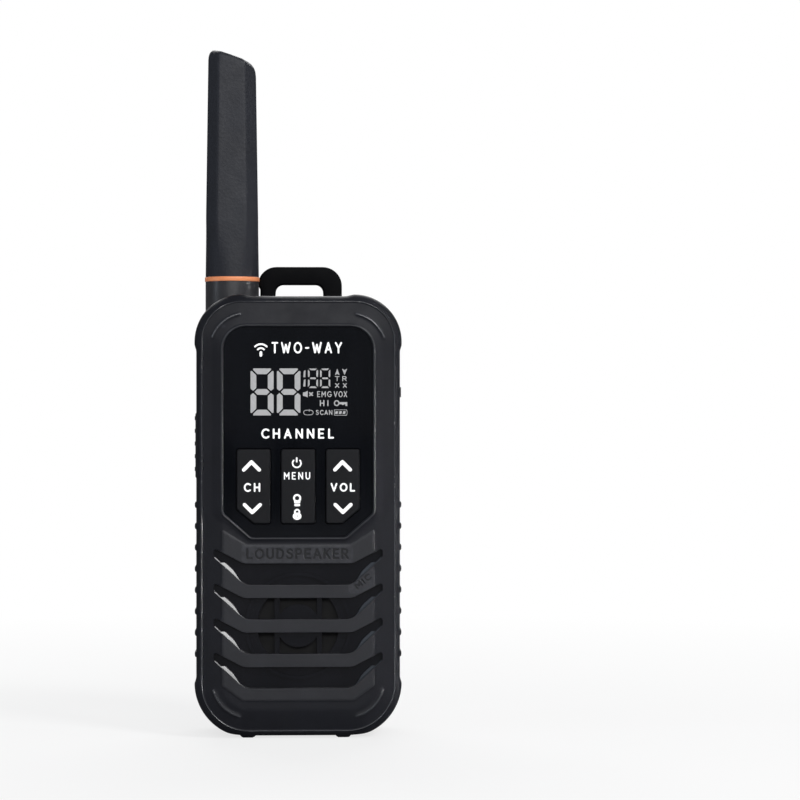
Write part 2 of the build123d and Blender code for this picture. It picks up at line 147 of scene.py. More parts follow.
def bump(nt, bsdf, height, strength, distance, chain=None):
    b = nt.nodes.new("ShaderNodeBump")
    b.inputs["Strength"].default_value = strength
    b.inputs["Distance"].default_value = distance
    nt.links.new(height, b.inputs["Height"])
    if chain is not None:
        nt.links.new(chain, b.inputs["Normal"])
    nt.links.new(b.outputs[0], bsdf.inputs["Normal"])
    return b.outputs[0]


def grained(name, base, rough, grain_mm=0.28, depth_mm=0.012, spec=0.5, vary=0.12, wear=0.0, rough_vary=0.06, blotch_mm=9.0, cells=False, coat=0.0):
    """Moulded rubber or plastic: fine grain, slow tint and gloss changes, paler worn edges."""
    m, nt, bsdf = new_mat(name)
    vec = coords(nt)
    slow = noise(nt, vec, 1000.0 / blotch_mm, 3.0, 0.55)
    fine = noise(nt, vec, 1000.0 / grain_mm, 2.0, 0.6)
    dark = tuple(c * (1 - vary) for c in base)
    light = tuple(c * (1 + vary) for c in base)
    col = mix_color(nt, maprange(nt, slow, 0.3, 0.7, 0.0, 1.0), dark, light)
    speck = maprange(nt, fine, 0.55, 0.8, 0.0, 0.35)
    col = mix_color(nt, speck, col, tuple(min(1.0, c * 1.9) for c in base))
    if wear > 0:
        geo = nt.nodes.new("ShaderNodeNewGeometry")
        edge = maprange(nt, geo.outputs["Pointiness"], 0.515, 0.58, 0.0, 1.0)
        broken = maprange(nt, noise(nt, vec, 1000.0 / 1.7, 4.0, 0.65), 0.42, 0.62, 0.25, 1.0)
        fac = math_node(nt, "MULTIPLY", edge, broken)
        fac = math_node(nt, "MULTIPLY", fac, wear)
        col = mix_color(nt, fac, col, tuple(min(1.0, c * 2.6 + 0.012) for c in base))
    nt.links.new(col, bsdf.inputs["Base Color"])
    r = maprange(nt, noise(nt, vec, 1000.0 / 5.0, 4.0, 0.6), 0.3, 0.7, rough - rough_vary, rough + rough_vary)
    nt.links.new(r, bsdf.inputs["Roughness"])
    bsdf.inputs["Specular IOR Level"].default_value = spec
    if coat:
        bsdf.inputs["Coat Weight"].default_value = coat
    height = fine
    if cells:
        height = math_node(nt, "ADD", math_node(nt, "MULTIPLY", voronoi(nt, vec, 1000.0 / (grain_mm * 2.2)), 1.2), fine)
    bump(nt, bsdf, height, 1.0, depth_mm * MM)
    return m


def polished(name, base, rough=0.06, spec=0.5, dust=0.02, coat=0.0):
    """Polished plastic with faint smears, dust and hairline marks."""
    m, nt, bsdf = new_mat(name)
    vec = coords(nt)
    smear = noise(nt, vec, 90.0, 4.0, 0.6, stretch=(1.0, 1.0, 0.35))
    hair = noise(nt, vec, 900.0, 2.0, 0.5, stretch=(1.0, 1.0, 0.05))
    tint = mix_color(nt, maprange(nt, smear, 0.35, 0.7, 0, 1), base, tuple(c * 1.35 + 0.0006 for c in base))
    specks = maprange(nt, noise(nt, vec, 2600.0, 1.0, 0.4), 0.73, 0.8, 0.0, dust)
    tint = mix_color(nt, specks, tint, (0.25, 0.25, 0.25))
    nt.links.new(tint, bsdf.inputs["Base Color"])
    r = math_node(nt, "ADD", maprange(nt, smear, 0.3, 0.75, rough * 0.7, rough * 1.7), maprange(nt, hair, 0.55, 0.8, 0.0, 0.05))
    nt.links.new(r, bsdf.inputs["Roughness"])
    bsdf.inputs["Specular IOR Level"].default_value = spec
    if coat:
        bsdf.inputs["Coat Weight"].default_value = coat
        bsdf.inputs["Coat Roughness"].default_value = 0.03
    bump(nt, bsdf, noise(nt, vec, 240.0, 2.0, 0.5), 1.0, 0.0015 * MM)
    return m


def metal(name, base, rough=0.3, brushed=(1, 1, 1), vary=0.1):
    m, nt, bsdf = new_mat(name)
    vec = coords(nt)
    n1 = noise(nt, vec, 1500.0, 3.0, 0.6, stretch=brushed)
    n2 = noise(nt, vec, 180.0, 3.0, 0.6)
    col = mix_color(nt, maprange(nt, n2, 0.3, 0.7, 0, 1), tuple(c * (1 - vary) for c in base), tuple(min(1, c * (1 + vary)) for c in base))
    nt.links.new(col, bsdf.inputs["Base Color"])
    bsdf.inputs["Metallic"].default_value = 1.0
    nt.links.new(maprange(nt, n1, 0.3, 0.7, rough * 0.75, rough * 1.3), bsdf.inputs["Roughness"])
    bump(nt, bsdf, n1, 1.0, 0.004 * MM)
    return m


def printed(name, base, rough=0.45, emit=0.0):
    """Printed mark: even colour with a slight, fine mottle; emit adds a painted glow."""
    m, nt, bsdf = new_mat(name)
    vec = coords(nt)
    n = noise(nt, vec, 1800.0, 3.0, 0.6)
    col = mix_color(nt, maprange(nt, n, 0.35, 0.7, 0, 1), tuple(c * 0.93 for c in base), tuple(min(1, c * 1.04) for c in base))
    nt.links.new(col, bsdf.inputs["Base Color"])
    nt.links.new(maprange(nt, n, 0.3, 0.7, rough - 0.05, rough + 0.05), bsdf.inputs["Roughness"])
    if emit:
        bsdf.inputs["Emission Color"].default_value = (*base, 1)
        bsdf.inputs["Emission Strength"].default_value = emit
    bump(nt, bsdf, n, 1.0, 0.002 * MM)
    return m


# ------------------------------------------------------------------ materials
M = {}
M["rubber"] = grained("rubber", (0.0066, 0.0072, 0.0112), 0.54, 0.26, 0.010, spec=0.29, wear=0.35, cells=True)
# crest rubber: glossier, and its pale colour is a painted highlight along the outer lip and accent arcs
M["rubber_edge_painted_highlight"] = grained("rubber_edge_painted_highlight", (0.040, 0.042, 0.048), 0.24, 0.30, 0.003, spec=1.0, wear=0.5)
# rim crest rubber: its pale colour is a painted highlight along the rim round the display
M["rubber_rim_painted_highlight"] = grained("rubber_rim_painted_highlight", (0.019, 0.020, 0.024), 0.34, 0.30, 0.003, spec=0.44, wear=0.5)
# paler copy of the rubber for the grille block: painted sheen
M["rubber_panel_painted_sheen"] = grained("rubber_panel_painted_sheen", (0.0185, 0.0192, 0.0236), 0.54, 0.26, 0.010, spec=0.36, wear=0.3, cells=True)
M["rubber_mark"] = grained("rubber_mark", (0.0085, 0.0090, 0.0105), 0.42, 0.3, 0.006, spec=0.45)
M["key"] = grained("key_rubber", (0.0052, 0.0057, 0.0076), 0.56, 0.20, 0.006, spec=0.21, wear=0.15)
M["gloss"] = polished("gloss_shell", (0.0040, 0.0043, 0.0062), 0.12, 0.46)
M["lens"] = polished("lens", (0.0026, 0.0031, 0.0045), 0.05, 0.40, dust=0.012)
M["rear"] = grained("rear_plastic", (0.0175, 0.0185, 0.0215), 0.48, 0.40, 0.016, spec=0.45, cells=True)
M["door"] = grained("door_plastic", (0.0160, 0.0170, 0.0200), 0.46, 0.34, 0.013, spec=0.45, cells=True)
M["clip"] = grained("clip_plastic", (0.0120, 0.0125, 0.0145), 0.36, 0.32, 0.007, spec=0.5)
M["loop"] = grained("loop_plastic", (0.0016, 0.0017, 0.0025), 0.54, 0.35, 0.006, spec=0.07)
M["antenna"] = grained("antenna_rubber", (0.0112, 0.0127, 0.0192), 0.54, 0.42, 0.030, spec=0.45, cells=True, vary=0.10)
M["antenna_base"] = grained("antenna_plastic", (0.0270, 0.0272, 0.0310), 0.36, 0.34, 0.010, spec=0.60, cells=True)
M["orange"] = grained("ring_orange", (0.88, 0.300, 0.125), 0.38, 0.30, 0.004, spec=0.5, vary=0.05)
# white print; emit=0.25 gives it a painted glow
M["white"] = printed("mark_white_painted_glow", (0.93, 0.93, 0.93), 0.5, emit=0.25)
M["lcd"] = printed("lcd_segment", (0.425, 0.425, 0.43), 0.6)
M["steel"] = metal("steel", (0.55, 0.55, 0.57), 0.32)
M["tin"] = metal("tin", (0.62, 0.62, 0.60), 0.38)
M["copper"] = metal("copper", (0.80, 0.42, 0.24), 0.3, (1, 1, 12))
M["speaker"] = metal("speaker_metal", (0.10, 0.10, 0.105), 0.42)
M["cone"] = grained("cone", (0.0026, 0.0026, 0.0032), 0.5, 0.3, 0.01, spec=0.27)
M["gasket"] = grained("gasket", (0.11, 0.11, 0.12), 0.55, 0.3, 0.006)
M["dark"] = grained("dark_plastic", (0.012, 0.012, 0.013), 0.5, 0.3, 0.008)
M["board"] = grained("board", (0.012, 0.10, 0.045), 0.35, 0.5, 0.006)
M["cell"] = grained("cell_sleeve", (0.05, 0.17, 0.10), 0.3, 0.6, 0.004)
M["backlight"] = printed("backlight", (0.8, 0.8, 0.78), 0.4)
M["torch"] = polished("torch_glass", (0.62, 0.64, 0.66), 0.05, 0.6, coat=0.6)
M["led"] = printed("led", (0.85, 0.80, 0.45), 0.35)

BY_NODE = {
    "port_cover": "rubber", "keypad_mat": "key", "channel_rocker": "key", "menu_rocker": "key", "volume_rocker": "key", "ptt_button": "key",
    "front_shell": "gloss", "front_frame": "gloss", "rear_shell": "rear", "battery_door": "door", "belt_clip": "clip", "lanyard_loop": "loop", "display_lens": "lens",
    "lcd_panel": "lens", "lcd_backlight": "backlight", "antenna_whip": "antenna", "antenna_base": "antenna_base", "antenna_ring": "orange",
    "antenna_coil": "copper", "main_board": "board", "rf_shield": "tin", "key_switches": "tin", "charge_socket": "tin", "microphone": "tin",
    "headset_jack": "dark", "ptt_switch": "dark", "speaker_frame": "speaker", "speaker_magnet": "speaker", "speaker_cone": "cone",
    "speaker_membrane": "cone", "shell_gasket": "gasket", "door_gasket": "gasket", "door_screws": "steel", "housing_screws": "steel",
    "clip_pin": "steel", "clip_spring": "steel", "battery_contacts": "steel", "battery_cells": "cell", "torch_lens": "torch", "torch_led": "led",
    "front_overmould": "rubber", "side_overmould": "rubber",
}
for name, obj in NODES.items():
    obj.data.materials.clear()
    obj.data.materials.append(M[BY_NODE.get(name, "dark")])


# ------------------------------------------------------------------ mesh helpers (millimetres in, metres out)
def build(name, verts, faces, mat, body, replaces=(), sharp=35.0, weld=0.002, recalc=False):
    me = bpy.data.meshes.new(name)
    v = np.asarray(verts, float) * MM
    me.from_pydata(v.tolist(), [], [tuple(int(i) for i in f) for f in faces])
    me.validate()
    bm = bmesh.new()
    bm.from_mesh(me)
    if weld:
        bmesh.ops.remove_doubles(bm, verts=bm.verts, dist=weld * MM)
    bmesh.ops.dissolve_degenerate(bm, edges=bm.edges, dist=1e-7)
    if recalc:
        bmesh.ops.recalc_face_normals(bm, faces=bm.faces)
    loose = [x for x in bm.verts if not x.link_faces]
    bmesh.ops.delete(bm, geom=loose, context="VERTS")
    bm.to_mesh(me)
    bm.free()
    me.polygons.foreach_set("use_smooth", [True] * len(me.polygons))
    if sharp:
        me.set_sharp_from_angle(angle=math.radians(sharp))
    me.materials.append(mat)
    ob = bpy.data.objects.new(name, me)
    scene.collection.objects.link(ob)
    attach(ob, body)
    if replaces:
        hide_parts(*replaces)
    return ob


def smoothstep(x):
    x = np.clip(x, 0.0, 1.0)
    return x * x * (3 - 2 * x)


def rpoly(pts, radii, o=0.0, arc=7, step=0.8):
    """Closed outline through pts (anticlockwise), corners rounded, moved outwards by o. The number of points doesn't depend on o."""
    pts = np.asarray(pts, float)
    n = len(pts)
    d = np.roll(pts, -1, 0) - pts
    length = np.hypot(d[:, 0], d[:, 1])
    u = d / length[:, None]
    nrm = np.stack([u[:, 1], -u[:, 0]], 1)

    def corners(off):
        out = []
        for i in range(n):
            a, b = (i - 1) % n, i
            p = pts[i]
            cr = u[a][0] * u[b][1] - u[a][1] * u[b][0]
            m = nrm[a] + nrm[b]
            k = 1.0 / max(1e-9, m @ nrm[a])
            out.append((p + m * k * off, cr))
        return out

    def tangents(off):
        cs = corners(off)
        res = []
        for i in range(n):
            a, b = (i - 1) % n, i
            p, cr = cs[i]
            r = max(0.02, radii[i] + (off if cr > 0 else -off))
            turn = math.atan2(cr, u[a] @ u[b])
            t = r * math.tan(abs(turn) / 2)
            s, e = p - u[a] * t, p + u[b] * t
            side = 1 if cr > 0 else -1
            c = s - nrm[a] * r * side
            res.append((s, e, c, r, side, a, b, turn))
        return res

    base = tangents(0.0)
    cur = tangents(o)
    out = []
    for i in range(n):
        s, e, c, r, side, a, b, turn = cur[i]
        a0 = math.atan2(nrm[a][1] * side, nrm[a][0] * side)
        count = max(2, int(round(arc * abs(turn) / (math.pi / 2))) + 1)
        for k in range(count + 1):
            ang = a0 + turn * k / count
            out.append(c + r * np.array([math.cos(ang), math.sin(ang)]))
        nxt = (i + 1) % n
        seg = int(np.linalg.norm(base[nxt][0] - base[i][1]) / step)
        for k in range(1, seg):
            out.append(e + (cur[nxt][0] - e) * k / seg)
    return np.array(out)


def sdf(poly, pts):
    """Signed distance to a closed outline, negative inside."""
    pts = np.asarray(pts, float)
    a = poly
    b = np.roll(poly, -1, 0)
    best = np.full(len(pts), 1e18)
    inside = np.zeros(len(pts), bool)
    for i in range(len(a)):
        ab = b[i] - a[i]
        l2 = ab @ ab
        if l2 < 1e-18:
            continue
        ap = pts - a[i]
        t = np.clip((ap @ ab) / l2, 0, 1)
        dd = ap - t[:, None] * ab
        best = np.minimum(best, (dd * dd).sum(1))
        cond = (a[i][1] > pts[:, 1]) != (b[i][1] > pts[:, 1])
        if abs(ab[1]) > 1e-15:
            xi = a[i][0] + (pts[:, 1] - a[i][1]) * ab[0] / ab[1]
            inside ^= cond & (pts[:, 0] < xi)
    d = np.sqrt(best)
    d[inside] *= -1
    return d


def triangulate(points, loops):
    """Constrained triangulation; loops are lists of indices into points, closed unless marked open."""
    edges = []
    for lp, closed in loops:
        for i in range(len(lp) - (0 if closed else 1)):
            edges.append((int(lp[i]), int(lp[(i + 1) % len(lp)])))
    res = delaunay_2d_cdt([Vector((float(p[0]), float(p[1]))) for p in points], edges, [], 0, 1e-7)
    co = np.array([(v.x, v.y) for v in res[0]])
    tri = np.array([f for f in res[2] if len(f) == 3])
    return co, tri


class Soup:
    def __init__(self):
        self.v, self.f, self.n = [], [], 0

    def add(self, verts, faces):
        verts = np.asarray(verts, float)
        self.v.append(verts)
        self.f += [tuple(int(i) + self.n for i in f) for f in faces]
        self.n += len(verts)

    def strip(self, a, b, flip=False, closed=True):
        """Quads between two matching rows of points."""
        n = len(a)
        faces = []
        for i in range(n if closed else n - 1):
            j = (i + 1) % n
            q = (i, j, n + j, n + i)
            faces.append(q[::-1] if flip else q)
        self.add(np.vstack([a, b]), faces)

    def verts(self):
        return np.vstack(self.v)


def front(xz, y):
    """x, z points with their y as 3-D points."""
    xz = np.asarray(xz)
    y = np.broadcast_to(np.asarray(y, float), (len(xz),))
    return np.stack([xz[:, 0], y, xz[:, 1]], 1)


# ------------------------------------------------------------------ line letters and marks
def arc_pts(cx, cz, rx, rz, a0, a1, n=10):
    return [(cx + rx * math.cos(math.radians(a0 + (a1 - a0) * i / n)), cz + rz * math.sin(math.radians(a0 + (a1 - a0) * i / n))) for i in range(n + 1)]


LETTERS = {
    "A": (0.76, [[(0, 0), (0.38, 1), (0.76, 0)], [(0.13, 0.32), (0.63, 0.32)]]),
    "C": (0.74, [arc_pts(0.48, 0.5, 0.48, 0.5, 48, 312, 12)]),
    "D": (0.72, [[(0, 0), (0, 1), (0.25, 1)] + arc_pts(0.25, 0.5, 0.47, 0.5, 90, -90, 10) + [(0, 0)]]),
    "E": (0.56, [[(0.56, 1), (0, 1), (0, 0), (0.56, 0)], [(0, 0.5), (0.48, 0.5)]]),
    "G": (0.82, [arc_pts(0.5, 0.5, 0.5, 0.5, 45, 335, 12) + [(0.95, 0.42), (0.58, 0.42)]]),
    "H": (0.70, [[(0, 0), (0, 1)], [(0.7, 0), (0.7, 1)], [(0, 0.5), (0.7, 0.5)]]),
    "I": (0.0, [[(0, 0), (0, 1)]]),
    "K": (0.62, [[(0, 0), (0, 1)], [(0.6, 1), (0, 0.42)], [(0.2, 0.6), (0.62, 0)]]),
    "L": (0.52, [[(0, 1), (0, 0), (0.52, 0)]]),
    "M": (0.86, [[(0, 0), (0, 1), (0.43, 0.36), (0.86, 1), (0.86, 0)]]),
    "N": (0.72, [[(0, 0), (0, 1), (0.72, 0), (0.72, 1)]]),
    "O": (0.90, [arc_pts(0.45, 0.5, 0.45, 0.5, 0, 360, 20)]),
    "P": (0.60, [[(0, 0), (0, 1), (0.34, 1)] + arc_pts(0.34, 0.74, 0.26, 0.26, 90, -90, 8) + [(0, 0.48)]]),
    "R": (0.64, [[(0, 0), (0, 1), (0.34, 1)] + arc_pts(0.34, 0.74, 0.27, 0.26, 90, -90, 8) + [(0, 0.48)], [(0.32, 0.48), (0.64, 0)]]),
    "S": (0.60, [[(0.57, 0.86), (0.43, 0.97), (0.28, 1.0), (0.12, 0.95), (0.03, 0.8), (0.08, 0.64), (0.3, 0.53), (0.5, 0.44), (0.6, 0.27), (0.55, 0.1), (0.4, 0.01), (0.26, 0.0), (0.1, 0.04), (0.0, 0.15)]]),
    "T": (0.66, [[(0, 1), (0.66, 1)], [(0.33, 1), (0.33, 0)]]),
    "U": (0.70, [[(0, 1), (0, 0.35)] + arc_pts(0.35, 0.35, 0.35, 0.35, 180, 360, 10) + [(0.7, 1)]]),
    "V": (0.76, [[(0, 1), (0.38, 0), (0.76, 1)]]),
    "W": (1.06, [[(0, 1), (0.27, 0), (0.53, 0.82), (0.79, 0), (1.06, 1)]]),
    "X": (0.68, [[(0, 1), (0.68, 0)], [(0.68, 1), (0, 0)]]),
    "Y": (0.72, [[(0, 1), (0.36, 0.48), (0.72, 1)], [(0.36, 0.48), (0.36, 0)]]),
    "-": (0.34, [[(0, 0.48), (0.34, 0.48)]]),
}


def word(text, x0, x1, z0, z1, r, gap=0.26):
    """Centre lines of a word that fills the box; r is half the stroke."""
    h = z1 - z0 - 2 * r
    widths = [LETTERS[c][0] * h for c in text]
    total = sum(widths)
    n = len(text)
    free = (x1 - x0 - 2 * r * n) / max(1e-9, total + gap * h * (n - 1))
    x = x0
    lines = []
    for c, w in zip(text, widths):
        for ln in LETTERS[c][1]:
            lines.append([(x + r + px * h * free, z0 + r + pz * h) for px, pz in ln])
        x += w * free + 2 * r + gap * h * free
    return lines


def turned(lines, cx, cz, angle, dx, dz):
    c, s = math.cos(math.radians(angle)), math.sin(math.radians(angle))
    return [[((px - cx) * c - (pz - cz) * s + dx, (px - cx) * s + (pz - cz) * c + dz) for px, pz in ln] for ln in lines]


def stroke(lines, r, caps=5):
    """Closed outlines of round-ended strokes along the lines."""
    out = []
    for ln in lines:
        for (ax, az), (bx, bz) in zip(ln[:-1], ln[1:]):
            a = math.atan2(bz - az, bx - ax)
            poly = []
            for k in range(caps + 1):
                q = a - math.pi / 2 + math.pi * k / caps
                poly.append((bx + r * math.cos(q), bz + r * math.sin(q)))
            for k in range(caps + 1):
                q = a + math.pi / 2 + math.pi * k / caps
                poly.append((ax + r * math.cos(q), az + r * math.sin(q)))
            out.append(poly)
    return out


def inside_poly(poly, pts):
    res = np.zeros(len(pts), bool)
    n = len(poly)
    for i in range(n):
        (ax, az), (bx, bz) = poly[i], poly[(i + 1) % n]
        if az == bz:
            continue
        cond = (az > pts[:, 1]) != (bz > pts[:, 1])
        xi = ax + (pts[:, 1] - az) * (bx - ax) / (bz - az)
        res ^= cond & (pts[:, 0] < xi)
    return res


def mark(name, polys, y0, y1, mat, body, minus=()):
    """Thin closed relief over the union of the outlines, from y1 (back) to y0 (front)."""
    pts, loops = [], []
    n = 0
    for poly in list(polys) + list(minus):
        pts += list(poly)
        loops.append((list(range(n, n + len(poly))), True))
        n += len(poly)
    co, tri = triangulate(np.array(pts), loops)
    cen = co[tri].mean(1)
    ok = np.zeros(len(tri), bool)
    for poly in polys:
        ok |= inside_poly(poly, cen)
    for poly in minus:
        ok &= ~inside_poly(poly, cen)
    tri = tri[ok]
    a, b, c = co[tri[:, 0]], co[tri[:, 1]], co[tri[:, 2]]
    area = (b[:, 0] - a[:, 0]) * (c[:, 1] - a[:, 1]) - (b[:, 1] - a[:, 1]) * (c[:, 0] - a[:, 0])
    tri = tri[np.abs(area) > 1e-8]
    area = area[np.abs(area) > 1e-8]
    tri[area < 0] = tri[area < 0][:, ::-1]
    soup = Soup()
    used = {}
    for f in tri:
        for k in range(3):
            e = (int(f[k]), int(f[(k + 1) % 3]))
            used.setdefault((min(e), max(e)), []).append(e)
    m = len(co)
    faces = [tuple(f) for f in tri] + [(f[2] + m, f[1] + m, f[0] + m) for f in tri]
    for es in used.values():
        if len(es) == 1:
            i, j = es[0]
            faces.append((j, i, i + m, j + m))
    soup.add(np.vstack([front(co, y0), front(co, y1)]), faces)
    return build(name, soup.verts(), soup.f, mat, body, sharp=30, weld=0.0005)


# ------------------------------------------------------------------ outlines shared with the CAD model
HALF_W, BOT, TOP, R_TOP, R_BOT = 28.5, 0.6, 123.6, 12.8, 14.8
Y_SPLIT, Y_SKIN = 1.0, -20.0
RIM = [(-13.3, 55.9), (13.3, 55.9), (21.25, 62.8), (21.25, 115.4), (-21.25, 115.4), (-21.25, 62.8)]
RIM_R = [2.2, 2.2, 2.2, 6.7, 6.7, 2.2]
PANEL = [(-15.5, 10.7), (15.5, 10.7), (21.2, 14.9), (21.2, 58.4), (14.5, 54.2), (-14.5, 54.2), (-21.2, 58.4), (-21.2, 14.9)]
PANEL_R = [2.2, 2.2, 1.2, 0.35, 2.0, 2.0, 0.35, 1.2]
SLOT_TOPS = (48.94, 39.32, 29.70, 20.08)
SLOT_H = 5.98


def slot_pts(top):
    low = top - SLOT_H
    return [(-14.9, low), (14.9, low), (23.5, low + 7.8), (23.5, top + 4.3), (15.2, top), (-15.2, top), (-23.5, top + 4.3), (-23.5, low + 7.8)]


SLOT_R = [4.6, 4.6, 0.7, 0.6, 4.4, 4.4, 0.6, 0.7]
ANT_X, ANT_Y, R_BASE = -18.8, -3.0, 7.6
PTT = (72.5, 91.0, -14.0, -2.5)
PORT = (95.3, 110.0, -13.0, -1.5)


def outline_columns():
    """Points round the body outline with outward normals and arc length."""
    P, N = [], []

    def line(p, q, n, cuts):
        p, q = np.array(p, float), np.array(q, float)
        for c in cuts:
            P.append(p + (q - p) * c)
            N.append(n)

    def arcs(c, r, a0, a1, k):
        for i in range(k + 1):
            a = math.radians(a0 + (a1 - a0) * i / k)
            P.append(np.array([c[0] + r * math.cos(a), c[1] + r * math.sin(a)]))
            N.append((math.cos(a), math.sin(a)))

    def side_cuts(z0, z1, up):
        zs = set(np.round(np.arange(z0, z1, 0.8), 3)) | {z1}
        for i in range(8):
            zc = 65.2 - 5.96 * i
            for o in (0.25, 0.45, 0.6, 0.7, 0.78, 0.84, 0.9, 1.0):
                zs |= {round(zc + o, 3), round(zc - o, 3)}
        for k in range(9):
            zs.add(round(107.9 + 0.3 * k, 3))
        zs = sorted(z for z in zs if z0 < z < z1)
        out = [z for i, z in enumerate(zs) if i == 0 or z - zs[i - 1] > 0.03]
        cuts = [(z - z0) / (z1 - z0) for z in out]
        return cuts if up else [1 - c for c in reversed(cuts)]

    bottom = sorted(set(np.round(np.concatenate([np.arange(-13.6, 13.7, 0.8), [s * v for s in (-1, 1) for v in (10.1, 10.2, 10.35, 10.5, 10.7, 11.5, 11.7, 11.9, 12.1)]]), 3)))
    line((-13.7, BOT), (13.7, BOT), (0, -1), [(x + 13.7) / 27.4 for x in bottom if -13.65 < x < 13.65])
    arcs((13.7, 15.4), R_BOT, -90, 0, 44)
    line((HALF_W, 15.4), (HALF_W, 110.8), (1, 0), side_cuts(15.4, 110.8, True))
    arcs((15.7, 110.8), R_TOP, 0, 90, 40)
    line((15.7, TOP), (-15.7, TOP), (0, 1), [k / 44 for k in range(1, 44)])
    arcs((-15.7, 110.8), R_TOP, 90, 180, 40)
    line((-HALF_W, 110.8), (-HALF_W, 15.4), (-1, 0), side_cuts(15.4, 110.8, False))
    arcs((-13.7, 15.4), R_BOT, 180, 270, 44)
    P, N = np.array(P), np.array(N)
    d = np.hypot(*(np.roll(P, -1, 0) - P).T)
    S = np.concatenate([[0], np.cumsum(d)])
    return P, N, S[:-1], S[-1]


OP, ON, OS, OL = outline_columns()


def bump_s(P):
    """How far the corner guards (first) and the grip ribs and pads (second) stand proud at outline points."""
    x, z = P[:, 0], P[:, 1]
    ax = np.abs(x)
    guard = np.zeros(len(P))
    top = (z > 100)
    # along the side from z 108.2 to 110.2, round the corner, to x 13.0 on top
    up = smoothstep((z - 108.0) / 2.2)
    over = smoothstep((ax - 13.0) / 3.0)
    guard = np.where(top, 0.5 * up * over, guard)
    low = (z < 20)
    up = smoothstep((17.0 - z) / 2.0)
    over = smoothstep((ax - 15.0) / 5.5)
    guard = np.where(low, 0.5 * up * over, guard)
    rib = np.zeros(len(P))
    side = ax > HALF_W - 0.01
    for i in range(8):
        zc = 65.2 - 5.96 * i
        q = np.clip(np.abs(z - zc) / 0.9, 0, 1)
        rib = np.maximum(rib, np.where(side, 0.42 * np.sqrt(np.maximum(0, 1 - q ** 2.6)), 0))
    pad = np.zeros(len(P))
    foot = z < 1.3
    q = np.minimum(np.abs(x + 14.0), np.abs(x - 12.6)) / 2.1
    pad = np.where(foot, (z + 0.0) * np.clip((1 - q) / 0.25, 0, 1) ** 0.8, 0)
    return guard, rib, pad


# words engraved in the rubber
ENGRAVED = [(word("LOUDSPEAKER", -14.41, 13.89, 50.16, 53.09, 0.22, 0.30), 0.27),
            (turned(word("MIC", -2.5, 2.5, -0.85, 0.85, 0.16, 0.34), 0, 0, 39.0, 17.96, 43.86), 0.20)]
ENGRAVED_BOX = [(-14.95, 14.42, 49.69, 53.53), (14.74, 20.78, 41.08, 46.42)]


def engraving(p):
    """Depth of the engraved words at points of the front."""
    out = np.zeros(len(p))
    for (lines, r), (x0, x1, z0, z1) in zip(ENGRAVED, ENGRAVED_BOX):
        near = np.where((p[:, 0] > x0) & (p[:, 0] < x1) & (p[:, 1] > z0) & (p[:, 1] < z1))[0]
        if not len(near):
            continue
        q = p[near]
        best = np.full(len(q), 9.0)
        for ln in lines:
            for a, b in zip(ln[:-1], ln[1:]):
                a, b = np.array(a), np.array(b)
                ab = b - a
                t = np.clip(((q - a) @ ab) / max(1e-12, ab @ ab), 0, 1)
                best = np.minimum(best, np.hypot(*(q - a - t[:, None] * ab).T))
        out[near] = np.maximum(out[near], 0.24 * smoothstep((r + 0.08 - best) / 0.18))
    return out


# height of the front surface
OUT_POLY = OP
RIM_POLY = rpoly(RIM, RIM_R)
PANEL_POLY = rpoly(PANEL, PANEL_R)
SLOT_POLYS = [rpoly(slot_pts(t), SLOT_R) for t in SLOT_TOPS]
SLOT_ROUND = 0.17


def flank(t, z):
    return -21.45 + (1.22 - 0.46 * smoothstep((z - 104.0) / 9.0)) * np.clip((7.6 - t) / 5.95, 0, 1) ** 1.12


def height(p):
    x, z = p[:, 0], p[:, 1]
    t = -sdf(OUT_POLY, p)
    y = flank(t, z)
    # thin lip along the outer edge
    y = y - 0.24 * np.exp(-((np.maximum(t, 1.62) - 1.62) / 0.16) ** 2)
    # accent arcs at the corners
    for s in (-1, 1):
        for (cx, cz, r, a0, a1) in ((14.4, 108.65, 10.05, 15, 84), (13.55, 16.44, 10.4, -80, -12)):
            dx, dz = s * x - cx, z - cz
            rr = np.hypot(dx, dz)
            ang = np.degrees(np.arctan2(dz, dx))
            mid, half = (a0 + a1) / 2, (a1 - a0) / 2
            win = smoothstep((half - np.abs(ang - mid)) / 9.0)
            prof = np.where(rr > r, np.exp(-((rr - r) / 0.30) ** 2), np.exp(-((rr - r) / 0.55) ** 2))
            y = y - 0.36 * prof * win
    # raised grille panel
    dp = sdf(PANEL_POLY, p)
    k = smoothstep((0.18 - dp) / 0.42)
    y = y + (-21.66 - y) * k
    # rim round the display
    d = sdf(RIM_POLY, p)
    wide = 0.75 + 1.75 * smoothstep((z - 57.0) / 7.0)
    w = np.clip(1 - (d - 0.42) / wide, 0, 1)
    slope = y + (-21.66 - y) * w ** 1.7
    y = np.where(d < 0.42 + wide, np.where(dp < 0.18, y, slope), y)
    crest = -21.66 - 0.32 * smoothstep((0.42 - d) / 0.42)
    y = np.where(d < 0.42, crest, y)
    y = np.where(d < -0.10, -21.98 + 0.34 * (np.clip(-0.10 - d, 0, 0.35) / 0.35) ** 1.6, y)
    # rounded edges of the slots
    for sp in SLOT_POLYS:
        ds = sdf(sp, p)
        q = np.clip(ds, 0, SLOT_ROUND)
        y = np.where(ds < SLOT_ROUND, y + SLOT_ROUND - np.sqrt(np.maximum(0, SLOT_ROUND ** 2 - (SLOT_ROUND - q) ** 2)), y)
    return y + engraving(p)


